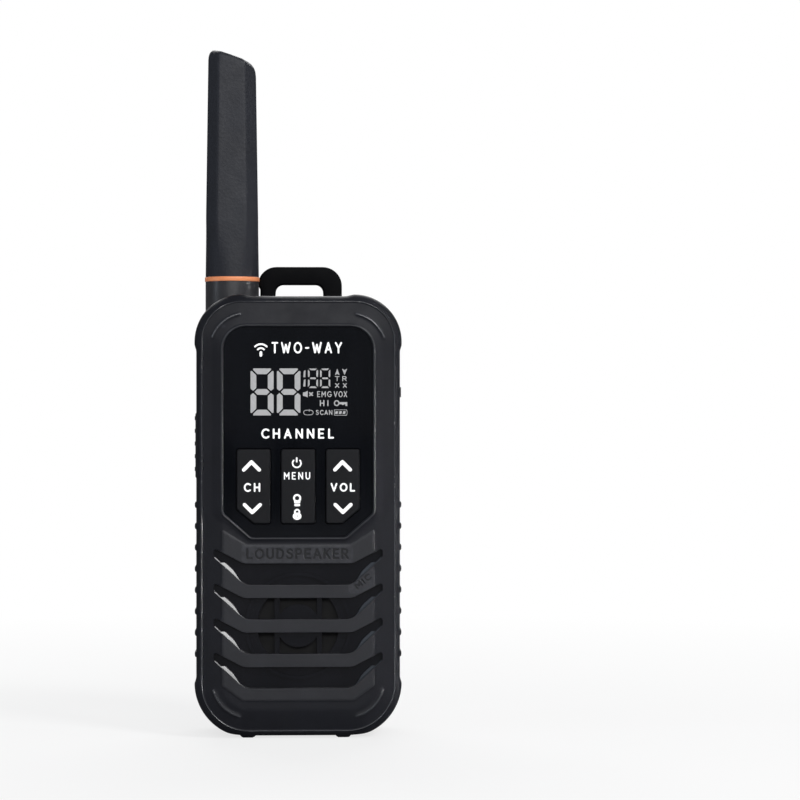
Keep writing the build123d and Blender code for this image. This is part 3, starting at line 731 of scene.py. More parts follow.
def make_overmould():
    soup = Soup()
    rng = np.random.default_rng(3)
    lip = 1.62
    pts, loops = [], []

    def add_loop(poly, closed=True):
        start = sum(len(a) for a in pts)
        pts.append(np.asarray(poly))
        loops.append((list(range(start, start + len(poly))), closed))

    add_loop(OP - ON * lip)
    for t in (1.67, 1.73, 1.80, 1.9, 2.1):
        add_loop(OP - ON * t)
    rim_in = rpoly(RIM, RIM_R, -0.45)
    for o in (-0.45, -0.34, -0.22, -0.10, 0.0, 0.12, 0.24, 0.42, 0.62, 0.9):
        add_loop(rpoly(RIM, RIM_R, o))
    slot_edge = []
    for t in SLOT_TOPS:
        for o in (0.0, 0.02, 0.06, 0.11, 0.17, 0.26):
            lp = rpoly(slot_pts(t), SLOT_R, o, step=1.0)
            if o == 0.0:
                slot_edge.append(lp)
            add_loop(lp)
    for o in (0.18, 0.06, -0.06, -0.18):
        lp = rpoly(PANEL, PANEL_R, o, step=1.0)
        # left out where a slot crosses the panel's edge
        near = np.min([sdf(sp, lp) for sp in SLOT_POLYS], 0) < SLOT_ROUND + 0.05
        run = []
        n = len(lp)
        first = next((i for i in range(n) if near[i]), 0)
        for k in range(n + 1):
            i = (first + k) % n
            if near[i] or k == n:
                if len(run) > 1:
                    add_loop(lp[run], closed=False)
                run = []
            else:
                run.append(i)
    fixed = np.vstack(pts)
    # interior points: fine near the crisp lines, coarser elsewhere
    gx, gz = np.meshgrid(np.arange(-28, 28.01, 0.55), np.arange(0.8, 123.5, 0.55))
    g = np.stack([gx.ravel(), gz.ravel()], 1) + rng.uniform(-0.06, 0.06, (gx.size, 2))
    arcs = []
    for s in (-1, 1):
        for (cx, cz, r, a0, a1) in ((14.4, 108.65, 10.05, 8, 91), (13.55, 16.44, 10.4, -87, -5)):
            for dr in (-1.4, -1.0, -0.7, -0.45, -0.25, -0.1, 0.0, 0.1, 0.2, 0.32, 0.45, 0.6):
                for a in np.radians(np.arange(a0, a1, 2.6)):
                    arcs.append((s * (cx + (r + dr) * math.cos(a)), cz + (r + dr) * math.sin(a)))
    arcs = np.array(arcs)
    keep = np.ones(len(g), bool)
    for s in (-1, 1):
        for (cx, cz, r, a0, a1) in ((14.4, 108.65, 10.05, 8, 91), (13.55, 16.44, 10.4, -87, -5)):
            dx, dz = s * g[:, 0] - cx, g[:, 1] - cz
            rr, ang = np.hypot(dx, dz), np.degrees(np.arctan2(dz, dx))
            keep &= ~((np.abs(rr - r + 0.4) < 1.25) & (ang > a0 - 2) & (ang < a1 + 2))
    fine = []
    for (x0, x1, z0, z1) in ENGRAVED_BOX:
        keep &= ~((g[:, 0] > x0 - 0.1) & (g[:, 0] < x1 + 0.1) & (g[:, 1] > z0 - 0.1) & (g[:, 1] < z1 + 0.1))
        fx, fz = np.meshgrid(np.arange(x0, x1, 0.135), np.arange(z0, z1, 0.135))
        fine.append(np.stack([fx.ravel(), fz.ravel()], 1))
    g = np.vstack([g[keep], arcs] + fine)
    t = -sdf(OUT_POLY, g)
    d = sdf(RIM_POLY, g)
    ds = np.min([sdf(sp, g) for sp in SLOT_POLYS], 0)
    dp = np.abs(sdf(PANEL_POLY, g))
    g = g[(t > 2.3) & (d > 1.1) & (ds > SLOT_ROUND + 0.2) & (dp > 0.4)]
    allp = np.vstack([fixed, g])
    co, tri = triangulate(allp, loops)
    cen = co[tri].mean(1)
    ok = (-sdf(OP - ON * lip, cen) > 0) & (sdf(rim_in, cen) > 0)
    for sp in slot_edge:
        ok &= sdf(sp, cen) > 0
    tri = tri[ok]
    # anticlockwise seen from the front (-Y), so that normals face it
    a, b, c = co[tri[:, 0]], co[tri[:, 1]], co[tri[:, 2]]
    area = (b[:, 0] - a[:, 0]) * (c[:, 1] - a[:, 1]) - (b[:, 1] - a[:, 1]) * (c[:, 0] - a[:, 0])
    tri[area < 0] = tri[area < 0][:, ::-1]
    soup.add(front(co, height(co)), tri)

    # outer edge: from the lip round to the side
    guard, rib, pad = bump_s(OP)
    rows = [(lip, None, 0, 0), (1.585, -20.42, 0.0, 0), (1.47, -20.20, 0.0, 0), (1.40, -20.13, 0.0, 0), (1.24, -20.02, 0.08, 0), (0.95, -19.76, 0.3, 0), (0.55, -19.30, 0.6, 0.05), (0.25, -18.75, 0.85, 0.35),
            (0.06, -18.1, 1.0, 0.8), (0.0, -17.4, 1.0, 1.0)]
    prev = None
    dz = flank(np.full(len(OP), 1.65), OP[:, 1]) - flank(np.full(1, 1.65), np.full(1, 60.0))
    for t, y, wg, wr in rows:
        off = guard * wg + rib * wr + pad * wr
        p2 = OP + ON * (off - t)[:, None]
        yy = height(OP - ON * lip) if y is None else y + dz * np.clip((t - 0.0) / lip, 0, 1)
        cur = front(p2, yy)
        if prev is not None:
            soup.strip(prev, cur, flip=True)
        prev = cur

    # side band, flattened into arc length by depth, with its openings
    side_pts, side_loops = [], []

    def side_loop(poly, closed=True):
        start = sum(len(a) for a in side_pts)
        side_pts.append(np.asarray(poly, float))
        side_loops.append((list(range(start, start + len(poly))), closed))

    S = np.concatenate([OS, [OL]])
    side_loop(np.stack([S, np.full(len(S), -17.4)], 1), False)
    side_loop(np.stack([S, np.full(len(S), Y_SPLIT)], 1), False)

    def s_right(z):
        i = np.where((np.abs(OP[:, 0] - HALF_W) < 1e-6))[0][0]
        return OS[i] + (z - OP[i][1])

    def s_left(z):
        i = np.where((np.abs(OP[:, 0] + HALF_W) < 1e-6))[0][0]
        return OS[i] + (OP[i][1] - z)

    def s_top(x):
        i = np.where((np.abs(OP[:, 1] - TOP) < 1e-6))[0][0]
        return OS[i] + (OP[i][0] - x)

    holes = []
    hole_round = 0.25
    for kind, (z0, z1, y0, y1), r in (("l", PTT, 2.6), ("r", PORT, 1.6)):
        conv = s_left if kind == "l" else s_right
        s0, s1 = sorted((conv(z0 - 0.3), conv(z1 + 0.3)))
        box_pts = [(s0, y0 - 0.3), (s1, y0 - 0.3), (s1, y1 + 0.3), (s0, y1 + 0.3)]
        for o in (0.0, 0.05, 0.12, 0.25):
            lp = rpoly(box_pts, [r] * 4, o, arc=9, step=0.7)
            if o == 0.0:
                holes.append(lp)
            side_loop(lp)
    for o in (0.0, 0.06, 0.14, 0.25):
        a = np.radians(np.arange(0, 360, 7.5))
        lp = np.stack([s_top(0.0) + (3.3 + o) * np.cos(a), -9.0 + (3.3 + o) * np.sin(a)], 1)
        if o == 0.0:
            holes.append(lp)
        side_loop(lp)

    # where the antenna's base passes through the top left corner
    def s_of_x(x):
        """Arc length on the top edge or the top left corner at a given x."""
        if x > -15.7:
            return s_top(x)
        i = np.where((np.abs(OP[:, 1] - TOP) < 1e-6) & (OP[:, 0] < -15.6))[0][-1]
        ang = math.acos(max(-1, min(1, (-15.7 - x) / R_TOP)))
        return OS[i] + R_TOP * (math.pi / 2 - ang)

    rb = R_BASE + 0.15
    a_end = math.degrees(math.asin((Y_SPLIT - ANT_Y) / rb))
    for o in (0.0, 0.08, 0.2):
        r2 = rb + o
        ae = math.degrees(math.asin((Y_SPLIT - ANT_Y) / r2))
        angs = np.radians(np.linspace(ae, -180 - ae, 72))
        curve = np.array([(s_of_x(ANT_X + r2 * math.cos(q)), ANT_Y + r2 * math.sin(q)) for q in angs])
        curve[0, 1] = curve[-1, 1] = Y_SPLIT
        side_loop(curve, closed=False)
        if o == 0.0:
            ant_hole = np.vstack([curve, [(curve[-1, 0], Y_SPLIT + 2), (curve[0, 0], Y_SPLIT + 2)]])
    fixed = np.vstack(side_pts)
    grid = []
    for s in S:
        for y in np.arange(-16.6, 0.7, 1.15):
            grid.append((s, y))
    grid = np.array(grid)
    dist = np.min([sdf(h, grid) for h in holes] + [sdf(ant_hole, grid)], 0)
    grid = grid[dist > 0.4]
    co, tri = triangulate(np.vstack([fixed, grid]), side_loops)
    cen = co[tri].mean(1)
    ok = np.min([sdf(h, cen) for h in holes] + [sdf(ant_hole, cen)], 0) > 0
    tri = tri[ok]
    a, b, c = co[tri[:, 0]], co[tri[:, 1]], co[tri[:, 2]]
    area = (b[:, 0] - a[:, 0]) * (c[:, 1] - a[:, 1]) - (b[:, 1] - a[:, 1]) * (c[:, 0] - a[:, 0])
    tri = tri[np.abs(area) > 1e-9]
    area = area[np.abs(area) > 1e-9]
    tri[area < 0] = tri[area < 0][:, ::-1]
    # position and normal at any arc length
    Pc, Nc = np.vstack([OP, OP[:1]]), np.vstack([ON, ON[:1]])
    s = np.clip(co[:, 0], 0, OL)
    px = np.interp(s, S, Pc[:, 0]); pz = np.interp(s, S, Pc[:, 1])
    nx = np.interp(s, S, Nc[:, 0]); nz = np.interp(s, S, Nc[:, 1])
    ln = np.hypot(nx, nz)
    nn = np.stack([nx / ln, nz / ln], 1)
    pp = np.stack([px, pz], 1)
    guard, rib, pad = bump_s(pp)
    off = guard + rib + pad
    drop = np.zeros(len(co))
    for h in holes + [ant_hole]:
        dd = sdf(h, co)
        q = np.clip(dd, 0, hole_round)
        drop = np.maximum(drop, np.where(dd < hole_round, hole_round - np.sqrt(np.maximum(0, hole_round ** 2 - (hole_round - q) ** 2)), 0))
    outer2 = pp + nn * (off - drop)[:, None]
    inner2 = pp - nn * 1.3
    outer3 = front(outer2, co[:, 1])
    inner3 = front(inner2, co[:, 1])
    soup.add(outer3, tri[:, ::-1])
    soup.add(inner3, tri)
    # walls through the thickness, wherever the band ends except at its front
    count = {}
    for f in tri:
        for k in range(3):
            e = (int(f[k]), int(f[(k + 1) % 3]))
            key = (min(e), max(e))
            count.setdefault(key, []).append(e)
    for key, es in count.items():
        if len(es) == 1:
            i, j = es[0]
            if co[i, 1] < -17.39 and co[j, 1] < -17.39:
                continue
            if (co[i, 0] < 1e-6 and co[j, 0] < 1e-6) or (co[i, 0] > OL - 1e-6 and co[j, 0] > OL - 1e-6):
                continue
            soup.add([outer3[i], outer3[j], inner3[j], inner3[i]], [(0, 1, 2, 3)])
    # inner faces behind the front
    ring_side = front(OP - ON * 1.3, -17.4)
    ring_back = front(OP - ON * 1.3, Y_SKIN)
    soup.strip(ring_side, ring_back)
    pts.clear(); loops.clear()
    add_loop(OP - ON * 1.3)
    add_loop(rim_in)
    for lp in slot_edge:
        add_loop(lp)
    co, tri = triangulate(np.vstack(pts), loops)
    cen = co[tri].mean(1)
    ok = (sdf(OP - ON * 1.3, cen) < 0) & (sdf(rim_in, cen) > 0)
    for sp in slot_edge:
        ok &= sdf(sp, cen) > 0
    tri = tri[ok]
    a, b, c = co[tri[:, 0]], co[tri[:, 1]], co[tri[:, 2]]
    area = (b[:, 0] - a[:, 0]) * (c[:, 1] - a[:, 1]) - (b[:, 1] - a[:, 1]) * (c[:, 0] - a[:, 0])
    tri[area > 0] = tri[area > 0][:, ::-1]
    soup.add(front(co, Y_SKIN), tri)
    soup.strip(front(rim_in, height(rim_in)), front(rim_in, Y_SKIN), flip=False)
    for lp in slot_edge:
        soup.strip(front(lp, height(lp)), front(lp, Y_SKIN), flip=False)
    ob = build("overmould", soup.verts(), soup.f, M["rubber"], "radio", ["front_overmould", "side_overmould"], sharp=40, weld=0.004, recalc=True)
    # the raised grille block gets a paler copy of the rubber: painted sheen for the light on its flat face
    me = ob.data
    me.materials.append(M["rubber_panel_painted_sheen"])
    cen = np.array([tuple(f.center) for f in me.polygons]) / MM
    sheen_block_mask = (sdf(PANEL_POLY, cen[:, [0, 2]]) < 0.10) & (cen[:, 1] < -20.3)
    # shinier, lighter crests: rim, outer lip and accent arcs; their lighter colour is a painted highlight along them
    me.materials.append(M["rubber_edge_painted_highlight"])
    flat = cen[:, [0, 2]]
    rim_d = sdf(RIM_POLY, flat)
    lip_t = -sdf(OUT_POLY, flat)
    rim_crest_highlight_mask = (np.abs(rim_d - 0.02) < 0.30) & (cen[:, 1] < -21.80)
    edge = (lip_t > 1.50) & (lip_t < 1.74) & (cen[:, 1] < -20.15)
    for cx, cz, r, a0, a1 in ((14.4, 108.65, 10.05, 15, 84), (13.55, 16.44, 10.4, -80, -12)):
        for s in (-1, 1):
            dx, dz = s * flat[:, 0] - cx, flat[:, 1] - cz
            ang = np.degrees(np.arctan2(dz, dx))
            edge |= (np.abs(np.hypot(dx, dz) - r - 0.08) < 0.27) & (ang > a0 + 3) & (ang < a1 - 3) & (cen[:, 1] < -20.3)
    # the rim's crest takes the lighter rim rubber: painted highlight
    me.materials.append(M["rubber_rim_painted_highlight"])
    index = np.where(rim_crest_highlight_mask, 3, np.where(edge, 2, sheen_block_mask.astype(int)))
    me.polygons.foreach_set("material_index", index.tolist())
    return ob


overmould = make_overmould()

mark("engraved_words", [q for lines, r in ENGRAVED for q in stroke(lines, r - 0.07)], -21.50, -21.42, M["rubber_mark"], "radio")


# ------------------------------------------------------------------ antenna
def make_whip():
    n, cx, cy, z0 = 192, ANT_X, ANT_Y, 129.45
    th = np.radians(np.arange(n) * 360 / n + 0.9375)
    ct, st = np.cos(th), np.sin(th)

    def radius(z):
        w = 7.56 - 0.0148 * (z - 131.0)
        flat = 4.35 - 0.0125 * (z - 131.0)
        p = 64.0
        diag = (w + flat) / (np.abs(ct) + np.abs(st))
        inv = (np.abs(ct) / w) ** p + (np.abs(st) / w) ** p + (1 / diag) ** p
        octo = inv ** (-1 / p)
        b = smoothstep(np.array([(z - 129.6) / 17.0]))[0] ** 0.75
        return w * (1 - b) + octo * b

    def plane(x):
        return 193.66 - 0.345 * (x + 22.83)

    soup = Soup()
    # the top's edge is rounded, most at its two sides
    right, left = np.clip(ct, 0, 1) ** 2, np.clip(-ct, 0, 1) ** 2
    high = 1.25 + 2.15 * right + 2.95 * left
    deep = 1.15 + 2.15 * right + 1.85 * left
    prev = None
    # z as a fraction of the way to the oblique top; the last part rounds over into it
    for k in range(62):
        f = k / 61
        r = radius(z0 + f * 58.0)
        x, y = cx + r * ct, cy + r * st
        top = plane(x) - high
        z = z0 + f * (top - z0)
        cur = np.stack([x, y, z], 1)
        if prev is not None:
            soup.strip(prev, cur)
        else:
            soup.strip(np.stack([cx + (r - 0.15) * ct, cy + (r - 0.15) * st, z], 1), cur)
            soup.strip(np.stack([cx + 3.2 * ct, cy + 3.2 * st, z], 1), np.stack([cx + (r - 0.15) * ct, cy + (r - 0.15) * st, z], 1))
        prev = cur
    rr = radius(z0 + 58.0)
    for k in range(1, 9):
        a = math.pi / 2 * k / 8
        r = rr - deep * (1 - math.cos(a))
        x, y = cx + r * ct, cy + r * st
        z = plane(cx + rr * ct) - high * (1 - math.sin(a)) - (x - (cx + rr * ct)) * 0.345 * math.sin(a)
        cur = np.stack([x, y, z], 1)
        soup.strip(prev, cur)
        prev = cur
    base = prev
    for f in (0.8, 0.55, 0.3, 0.12):
        x = cx + (base[:, 0] - cx) * f
        y = cy + (base[:, 1] - cy) * f
        z = base[:, 2] * f + (1 - f) * base[:, 2].mean() + 0.18 * (1 - f * f)
        cur = np.stack([x, y, z], 1)
        soup.strip(prev, cur)
        prev = cur
    mid = prev.mean(0) + np.array([0, 0, 0.01])
    soup.add(np.vstack([prev, [mid]]), [(i, (i + 1) % n, n) for i in range(n)])
    return build("whip", soup.verts(), soup.f, M["antenna"], "radio", ["antenna_whip"], sharp=50, weld=0.004, recalc=True)


make_whip()


def make_ring():
    """The orange ring, with softly rounded edges."""
    n = 144
    th = np.radians(np.arange(n) * 360 / n)
    z0, z1, r = 128.15, 129.45, 7.78
    prof = [(3.3, z0), (7.55, z0), (7.70, z0 + 0.04), (r, z0 + 0.14), (r, z0 + 0.5), (r, z1 - 0.5), (r, z1 - 0.14), (7.70, z1 - 0.04), (7.55, z1), (3.3, z1), (3.3, z0)]
    soup = Soup()
    rows = [np.stack([ANT_X + q * np.cos(th), ANT_Y + q * np.sin(th), np.full(n, z)], 1) for q, z in prof]
    for a, b in zip(rows[:-1], rows[1:]):
        soup.strip(a, b)
    return build("ring", soup.verts(), soup.f, M["orange"], "radio", ["antenna_ring"], sharp=50, weld=0.004, recalc=True)


make_ring()


def bevelled(name, outer, radii, holes, y0, y1, r, mat, body, replaces=(), rows=5):
    """Closed plate between y0 (front) and y1 with rounded edges; holes are (points, radii)."""
    soup = Soup()
    prof = []
    for k in range(rows + 1):
        a = math.pi / 2 * k / rows
        prof.append((-r * (1 - math.sin(a)), y0 + r * (1 - math.cos(a))))
    back = [(o, y0 + y1 - y) for o, y in reversed(prof)]
    prof = prof + back
    loops = [[rpoly(outer, radii, o, arc=9, step=1.0) for o, _ in prof]]
    for hp, hr in holes:
        loops.append([rpoly(hp, hr, -o, arc=9, step=1.0) for o, _ in prof])
    for lp in loops:
        for k in range(len(prof) - 1):
            soup.strip(front(lp[k], prof[k][1]), front(lp[k + 1], prof[k + 1][1]))
    for end, y in ((0, y0), (len(prof) - 1, y1)):
        pts, edges, n = [], [], 0
        for lp in loops:
            pts.append(lp[end])
            edges.append((list(range(n, n + len(lp[end]))), True))
            n += len(lp[end])
        co, tri = triangulate(np.vstack(pts), edges)
        cen = co[tri].mean(1)
        ok = sdf(loops[0][end], cen) < 0
        for lp in loops[1:]:
            ok &= sdf(lp[end], cen) > 0
        soup.add(front(co, y), tri[ok])
    return build(name, soup.verts(), soup.f, mat, body, replaces, sharp=50, weld=0.002, recalc=True)


bevelled("loop", [(-10.95, 119.2), (12.6, 119.2), (12.6, 132.9), (-11.6, 132.9), (-11.6, 127.6), (-10.95, 126.4)], [0.8, 0.8, 5.5, 5.3, 0.8, 0.8],
         [([(-6.75, 121.0), (7.45, 121.0), (7.05, 127.7), (-6.35, 127.7)], [1.2, 1.2, 2.2, 2.2])], 5.0, 8.4, 0.6, M["loop"], "radio", ["lanyard_loop"])


# ------------------------------------------------------------------ polished trays in the grille slots
def make_trays():
    soup = Soup()
    for top in SLOT_TOPS:
        low = top - SLOT_H
        edge = rpoly(slot_pts(top), SLOT_R, 0.0, arc=12, step=0.7)
        inner = rpoly(slot_pts(top), SLOT_R, -0.25, arc=12, step=0.7)
        d = (inner - edge) / 0.25
        # wide slopes along the raised ends of the lower edge, narrow elsewhere
        ax = np.abs(edge[:, 0])
        lower = edge[:, 1] < low + 8.1 - 0.0
        under = edge[:, 1] < (low + 0.907 * (ax - 14.9)) + 1.2
        wide = smoothstep((ax - 15.8) / 3.2) * smoothstep((21.8 - ax) / 0.8) * (under & lower)
        end = smoothstep((ax - 21.6) / 1.0) * (edge[:, 1] < top + 4.2)
        width = 0.03 + 0.94 * wide + 0.19 * end * (1 - wide)
        depth = 0.95
        rows = [edge - d * 0.06]
        ys = [-21.02]
        n = 9
        for k in range(n + 1):
            # hollow slope: steep at the wall, nearly level at the floor
            f = min(1.0, 1.12 * k / n)
            rows.append(edge + d * (width * f)[:, None])
            ys.append(-21.0 + 0.53 * width * f + (depth - 0.53 * width) * smoothstep(np.full(1, (k / n - 0.88) / 0.12))[0])
        rows.append(edge + d * (width + 0.08)[:, None])
        ys.append(-20.02)
        pts = [front(r, y) for r, y in zip(rows, ys)]
        for a, b in zip(pts[:-1], pts[1:]):
            soup.strip(a, b, flip=True)
    return build("slot_trays", soup.verts(), soup.f, M["gloss"], "radio", sharp=60, weld=0.001)


make_trays()


# ------------------------------------------------------------------ display segments
def digit(x0, x1, z0, z1, w, g, c):
    zm = (z0 + z1) / 2
    h = w / 2
    q = c / 2
    segs = [
        [(x0 + c, z1), (x0 + q + g, z1 - q), (x0 + w + g, z1 - w), (x1 - w - g, z1 - w), (x1 - q - g, z1 - q), (x1 - c, z1)],
        [(x0 + c, z0), (x0 + q + g, z0 + q), (x0 + w + g, z0 + w), (x1 - w - g, z0 + w), (x1 - q - g, z0 + q), (x1 - c, z0)],
        [(x0 + h + g, zm), (x0 + w + g, zm + h), (x1 - w - g, zm + h), (x1 - h - g, zm), (x1 - w - g, zm - h), (x0 + w + g, zm - h)],
    ]
    for m in (1, -1):
        for side in (0, 1):
            fx = (lambda v: x0 + v) if side == 0 else (lambda v: x1 - v)
            ze = z1 if m > 0 else z0
            segs.append([(fx(0), ze - m * c), (fx(q), ze - m * (q + g)), (fx(w), ze - m * (w + g)), (fx(w), zm + m * (h + g)), (fx(h * 0.9), zm + m * g), (fx(0), zm + m * (g + h * 0.75))])
    return segs


LENS_Y = -21.3
segs = digit(-13.27, -6.86, 90.2, 103.3, 1.60, 0.31, 0.78)
segs += digit(-5.94, 0.61, 90.2, 103.3, 1.60, 0.31, 0.78)
mark("segments_large", segs, LENS_Y - 0.03, LENS_Y + 0.02, M["lcd"], "radio")
small = digit(2.7, 5.52, 97.84, 103.27, 0.47, 0.30, 0.33)
small += digit(6.08, 8.92, 97.84, 103.27, 0.47, 0.30, 0.33)
for z0, z1 in ((100.85, 102.8), (98.28, 100.29)):
    small.append([(1.42, z0), (1.98, z0), (2.04, z1), (1.56, z1 - 0.2)])
mark("segments_small", small, LENS_Y - 0.03, LENS_Y + 0.02, M["lcd"], "radio")

icons = []
# transmit and receive stacks
icons.append([(10.87, 103.25), (10.2, 101.41), (10.87, 101.77), (11.54, 101.41)][::-1])
icons.append([(12.91, 101.46), (12.18, 103.25), (12.91, 102.86), (13.63, 103.25)][::-1])
icons += stroke(word("T", 10.2, 11.49, 99.76, 101.16, 0.11), 0.11)
icons += stroke(word("R", 12.3, 13.52, 99.76, 101.16, 0.11), 0.11)
icons += stroke(word("X", 10.26, 11.43, 97.89, 99.23, 0.125), 0.125)
icons += stroke(word("X", 12.44, 13.55, 97.89, 99.23, 0.125), 0.125)
# muted loudspeaker
icons.append([(1.34, 95.61), (1.9, 95.55), (2.65, 95.22), (2.65, 97.09), (1.9, 96.67), (1.34, 96.61)])
icons += stroke([[(3.18, 96.53), (3.96, 95.77)], [(3.96, 96.53), (3.18, 95.77)]], 0.19)
icons += stroke(word("EMG", 5.27, 9.2, 95.3, 96.95, 0.115, 0.34), 0.115)
icons += stroke(word("VOX", 9.9, 13.63, 95.3, 96.95, 0.115, 0.26), 0.115)
icons += stroke(word("HI", 6.02, 8.42, 92.76, 94.49, 0.15, 0.60), 0.15)
# key
ring = arc_pts(10.71, 93.63, 0.62, 0.68, 0, 360, 18)
icons += stroke([ring], 0.16)
icons.append([(11.35, 93.32), (13.66, 93.29), (13.66, 93.93), (11.35, 93.88)])
icons.append([(13.13, 92.82), (13.66, 92.82), (13.66, 93.82), (13.13, 93.82)])
icons.append([(12.18, 93.1), (12.63, 93.1), (12.63, 93.82), (12.18, 93.82)])
icons += stroke(word("SCAN", 4.91, 9.51, 90.34, 91.73, 0.11, 0.30), 0.11)
# link
icons += stroke([arc_pts(2.17, 91.01, 0.66, 0.64, 75, 285, 9), arc_pts(3.46, 91.01, 0.72, 0.64, -90, 105, 9),
                 [(2.57, 90.37), (3.46, 90.37)], [(2.29, 91.65), (3.12, 91.65)], [(3.07, 91.87), (3.07, 91.31)]], 0.085)
# battery
icons += stroke([[(10.07, 91.76), (13.44, 91.76), (13.63, 91.31), (13.63, 90.7), (13.44, 90.25), (10.07, 90.25), (10.07, 91.76)]], 0.07)
for x in (10.23, 11.29, 12.35):
    icons.append([(x, 90.62), (x + 0.72, 90.62), (x + 0.90, 91.37), (x + 0.18, 91.37)])
mark("icons", icons, LENS_Y - 0.03, LENS_Y + 0.02, M["lcd"], "radio")

# ------------------------------------------------------------------ plain printed words and signs
# the white print and key signs below glow a little through M["white"]: painted glow
logo = stroke([arc_pts(-10.39, 107.81, 1.15, 1.15, 42, 138, 10), arc_pts(-10.39, 107.81, 2.25, 2.25, 44, 136, 14)], 0.25)
logo += stroke([[(-10.39, 106.91), (-10.39, 107.76)]], 0.36)
mark("print_waves", logo, LENS_Y - 0.035, LENS_Y + 0.02, M["white"], "radio")
mark("print_upper", stroke(word("TWO-WAY", -7.44, 12.21, 107.49, 110.66, 0.238, 0.38), 0.238), LENS_Y - 0.035, LENS_Y + 0.02, M["white"], "radio")
mark("print_lower", stroke(word("CHANNEL", -10.29, 9.98, 83.73, 86.57, 0.255, 0.48), 0.255), LENS_Y - 0.035, LENS_Y + 0.02, M["white"], "radio")

KEY_Y = -21.9
def on_key(name, polys, body, minus=()):
    return mark(name, polys, KEY_Y - 0.035, KEY_Y + 0.02, M["white"], body, minus=minus)

on_key("key_left_signs", stroke([[(-15.13, 75.07), (-13.01, 77.25), (-10.84, 75.07)], [(-14.93, 65.35), (-12.79, 63.23), (-10.59, 65.35)]], 0.50)
       + stroke(word("CH", -15.13, -10.56, 68.92, 71.42, 0.235, 0.48), 0.235), "channel_key")
on_key("key_right_signs", stroke([[(10.22, 75.07), (12.29, 77.25), (14.49, 75.07)], [(10.31, 65.35), (12.45, 63.23), (14.65, 65.35)]], 0.50)
       + stroke(word("VOL", 9.0, 15.82, 68.97, 71.39, 0.235, 0.34), 0.235), "volume_key")
mid = stroke([arc_pts(-0.39, 76.90, 1.17, 1.17, 138, 402, 18)], 0.215)
mid += stroke([[(-0.42, 78.35), (-0.42, 77.30)]], 0.225)
mid += stroke(word("MENU", -3.98, 3.34, 72.34, 74.43, 0.16, 0.46), 0.16)
mid += stroke([arc_pts(-0.31, 67.19, 0.88, 0.88, 0, 360, 16)], 0.26)
mid.append([(-1.06, 65.71), (0.5, 65.71), (0.67, 66.52), (-1.2, 66.52)])
mid += stroke([[(-0.81, 65.24), (0.22, 65.24)]], 0.33)
mid += stroke([[(-0.92, 62.87), (-0.92, 63.4)] + arc_pts(-0.31, 63.34, 0.62, 0.62, 180, 0, 8) + [(0.31, 62.87)]], 0.24)
body_lock = arc_pts(-0.31, 62.15, 1.22, 1.02, 0, 360, 20)[:-1]
mid.append(body_lock)
on_key("key_middle_signs", mid, "menu_key", minus=[arc_pts(-0.28, 62.2, 0.17, 0.17, 0, 360, 8)[:-1]])

# ------------------------------------------------------------------ lights and stage
world = bpy.data.worlds.new("world")
scene.world = world
world.use_nodes = True
wt = world.node_tree
wt.nodes.clear()
wo = wt.nodes.new("ShaderNodeOutputWorld")
bg_cam = wt.nodes.new("ShaderNodeBackground")
bg_cam.inputs[0].default_value = (1, 1, 1, 1)
bg_cam.inputs[1].default_value = 1.0
bg_env = wt.nodes.new("ShaderNodeBackground")
bg_env.inputs[0].default_value = (0.95, 0.97, 1.0, 1)
bg_env.inputs[1].default_value = 0.13
lp = wt.nodes.new("ShaderNodeLightPath")
mx = wt.nodes.new("ShaderNodeMixShader")
wt.links.new(lp.outputs["Is Camera Ray"], mx.inputs[0])
wt.links.new(bg_env.outputs[0], mx.inputs[1])
wt.links.new(bg_cam.outputs[0], mx.inputs[2])
wt.links.new(mx.outputs[0], wo.inputs[0])


def area_light(name, loc, target, size, power, color=(1, 1, 1), spread=180):
    d = bpy.data.lights.new(name, "AREA")
    d.shape = "RECTANGLE"
    d.size, d.size_y = size
    d.energy = power
    d.color = color
    d.spread = math.radians(spread)
    o = bpy.data.objects.new(name, d)
    scene.collection.objects.link(o)
    o.location = loc
    v = Vector(target) - Vector(loc)
    o.rotation_euler = v.to_track_quat("-Z", "Y").to_euler()
    return o


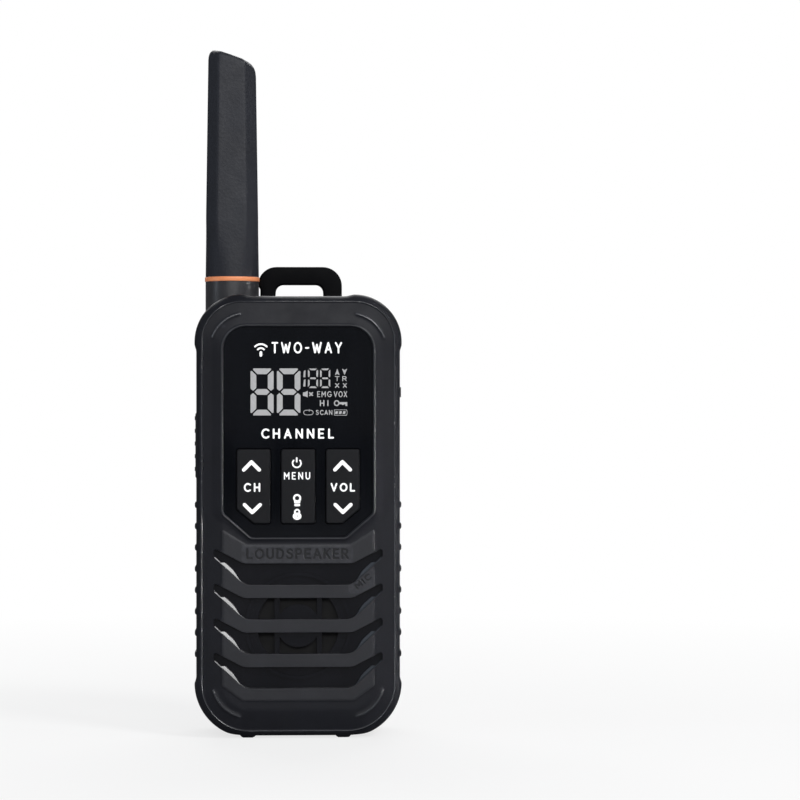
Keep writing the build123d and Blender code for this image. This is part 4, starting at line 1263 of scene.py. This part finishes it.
area_light("key", (0.72, -0.74, 0.90), (0, 0, 0.08), (0.30, 0.42), 7.5)
area_light("front", (0.10, -1.20, 0.55), (0, 0, 0.09), (0.9, 0.36), 6.2)
area_light("side", (1.15, -0.30, 0.22), (0, 0, 0.09), (0.12, 1.1), 1.25)
area_light("edge", (0.90, -0.24, 0.045), (0, 0, 0.045), (0.10, 0.08), 0.017, spread=11)
area_light("left_key", (-0.74, -0.74, 0.86), (0, 0, 0.05), (0.26, 0.36), 0.55, (0.74, 0.84, 1.0))
area_light("fill", (-1.10, -0.36, 0.30), (0, 0, 0.09), (0.12, 1.0), 1.5, (0.80, 0.89, 1.0))
area_light("back", (0.0, 0.9, 0.8), (0, 0, 0.1), (1.2, 0.5), 9.0)

fm, fnt, fb = new_mat("floor")
fb.inputs["Roughness"].default_value = 0.9
fb.inputs["Specular IOR Level"].default_value = 0.1
fv = coords(fnt)
fcol = mix_color(fnt, maprange(fnt, noise(fnt, fv, 6.0, 2.0), 0.3, 0.7, 0, 1), (0.80, 0.80, 0.80), (0.83, 0.83, 0.83))
fnt.links.new(fcol, fb.inputs["Base Color"])
em = fnt.nodes.new("ShaderNodeEmission")
em.inputs[0].default_value = (1, 1, 1, 1)
em.inputs[1].default_value = 1.0
length = fnt.nodes.new("ShaderNodeVectorMath")
length.operation = "LENGTH"
fnt.links.new(fv, length.inputs[0])
fade = maprange(fnt, length.outputs["Value"], 0.10, 0.42, 0.74, 1.0)
fmix = fnt.nodes.new("ShaderNodeMixShader")
flp = fnt.nodes.new("ShaderNodeLightPath")
# the floor turns dark grey for glossy rays only: painted shade in the radio's reflections of the floor
floor_dark_for_reflections = mix_color(fnt, flp.outputs["Is Glossy Ray"], fcol, (0.16, 0.16, 0.165))
fnt.links.new(floor_dark_for_reflections, fb.inputs["Base Color"])
fnt.links.new(math_node(fnt, "MULTIPLY", fade, flp.outputs["Is Camera Ray"]), fmix.inputs[0])
fnt.links.new(fb.outputs[0], fmix.inputs[1])
fnt.links.new(em.outputs[0], fmix.inputs[2])
fout = [n for n in fnt.nodes if n.type == "OUTPUT_MATERIAL"][0]
fnt.links.new(fmix.outputs[0], fout.inputs[0])
bm = bmesh.new()
bmesh.ops.create_circle(bm, cap_ends=True, segments=96, radius=6.0)
me = bpy.data.meshes.new("floor")
bm.to_mesh(me)
bm.free()
me.materials.append(fm)
floor = bpy.data.objects.new("floor", me)
scene.collection.objects.link(floor)
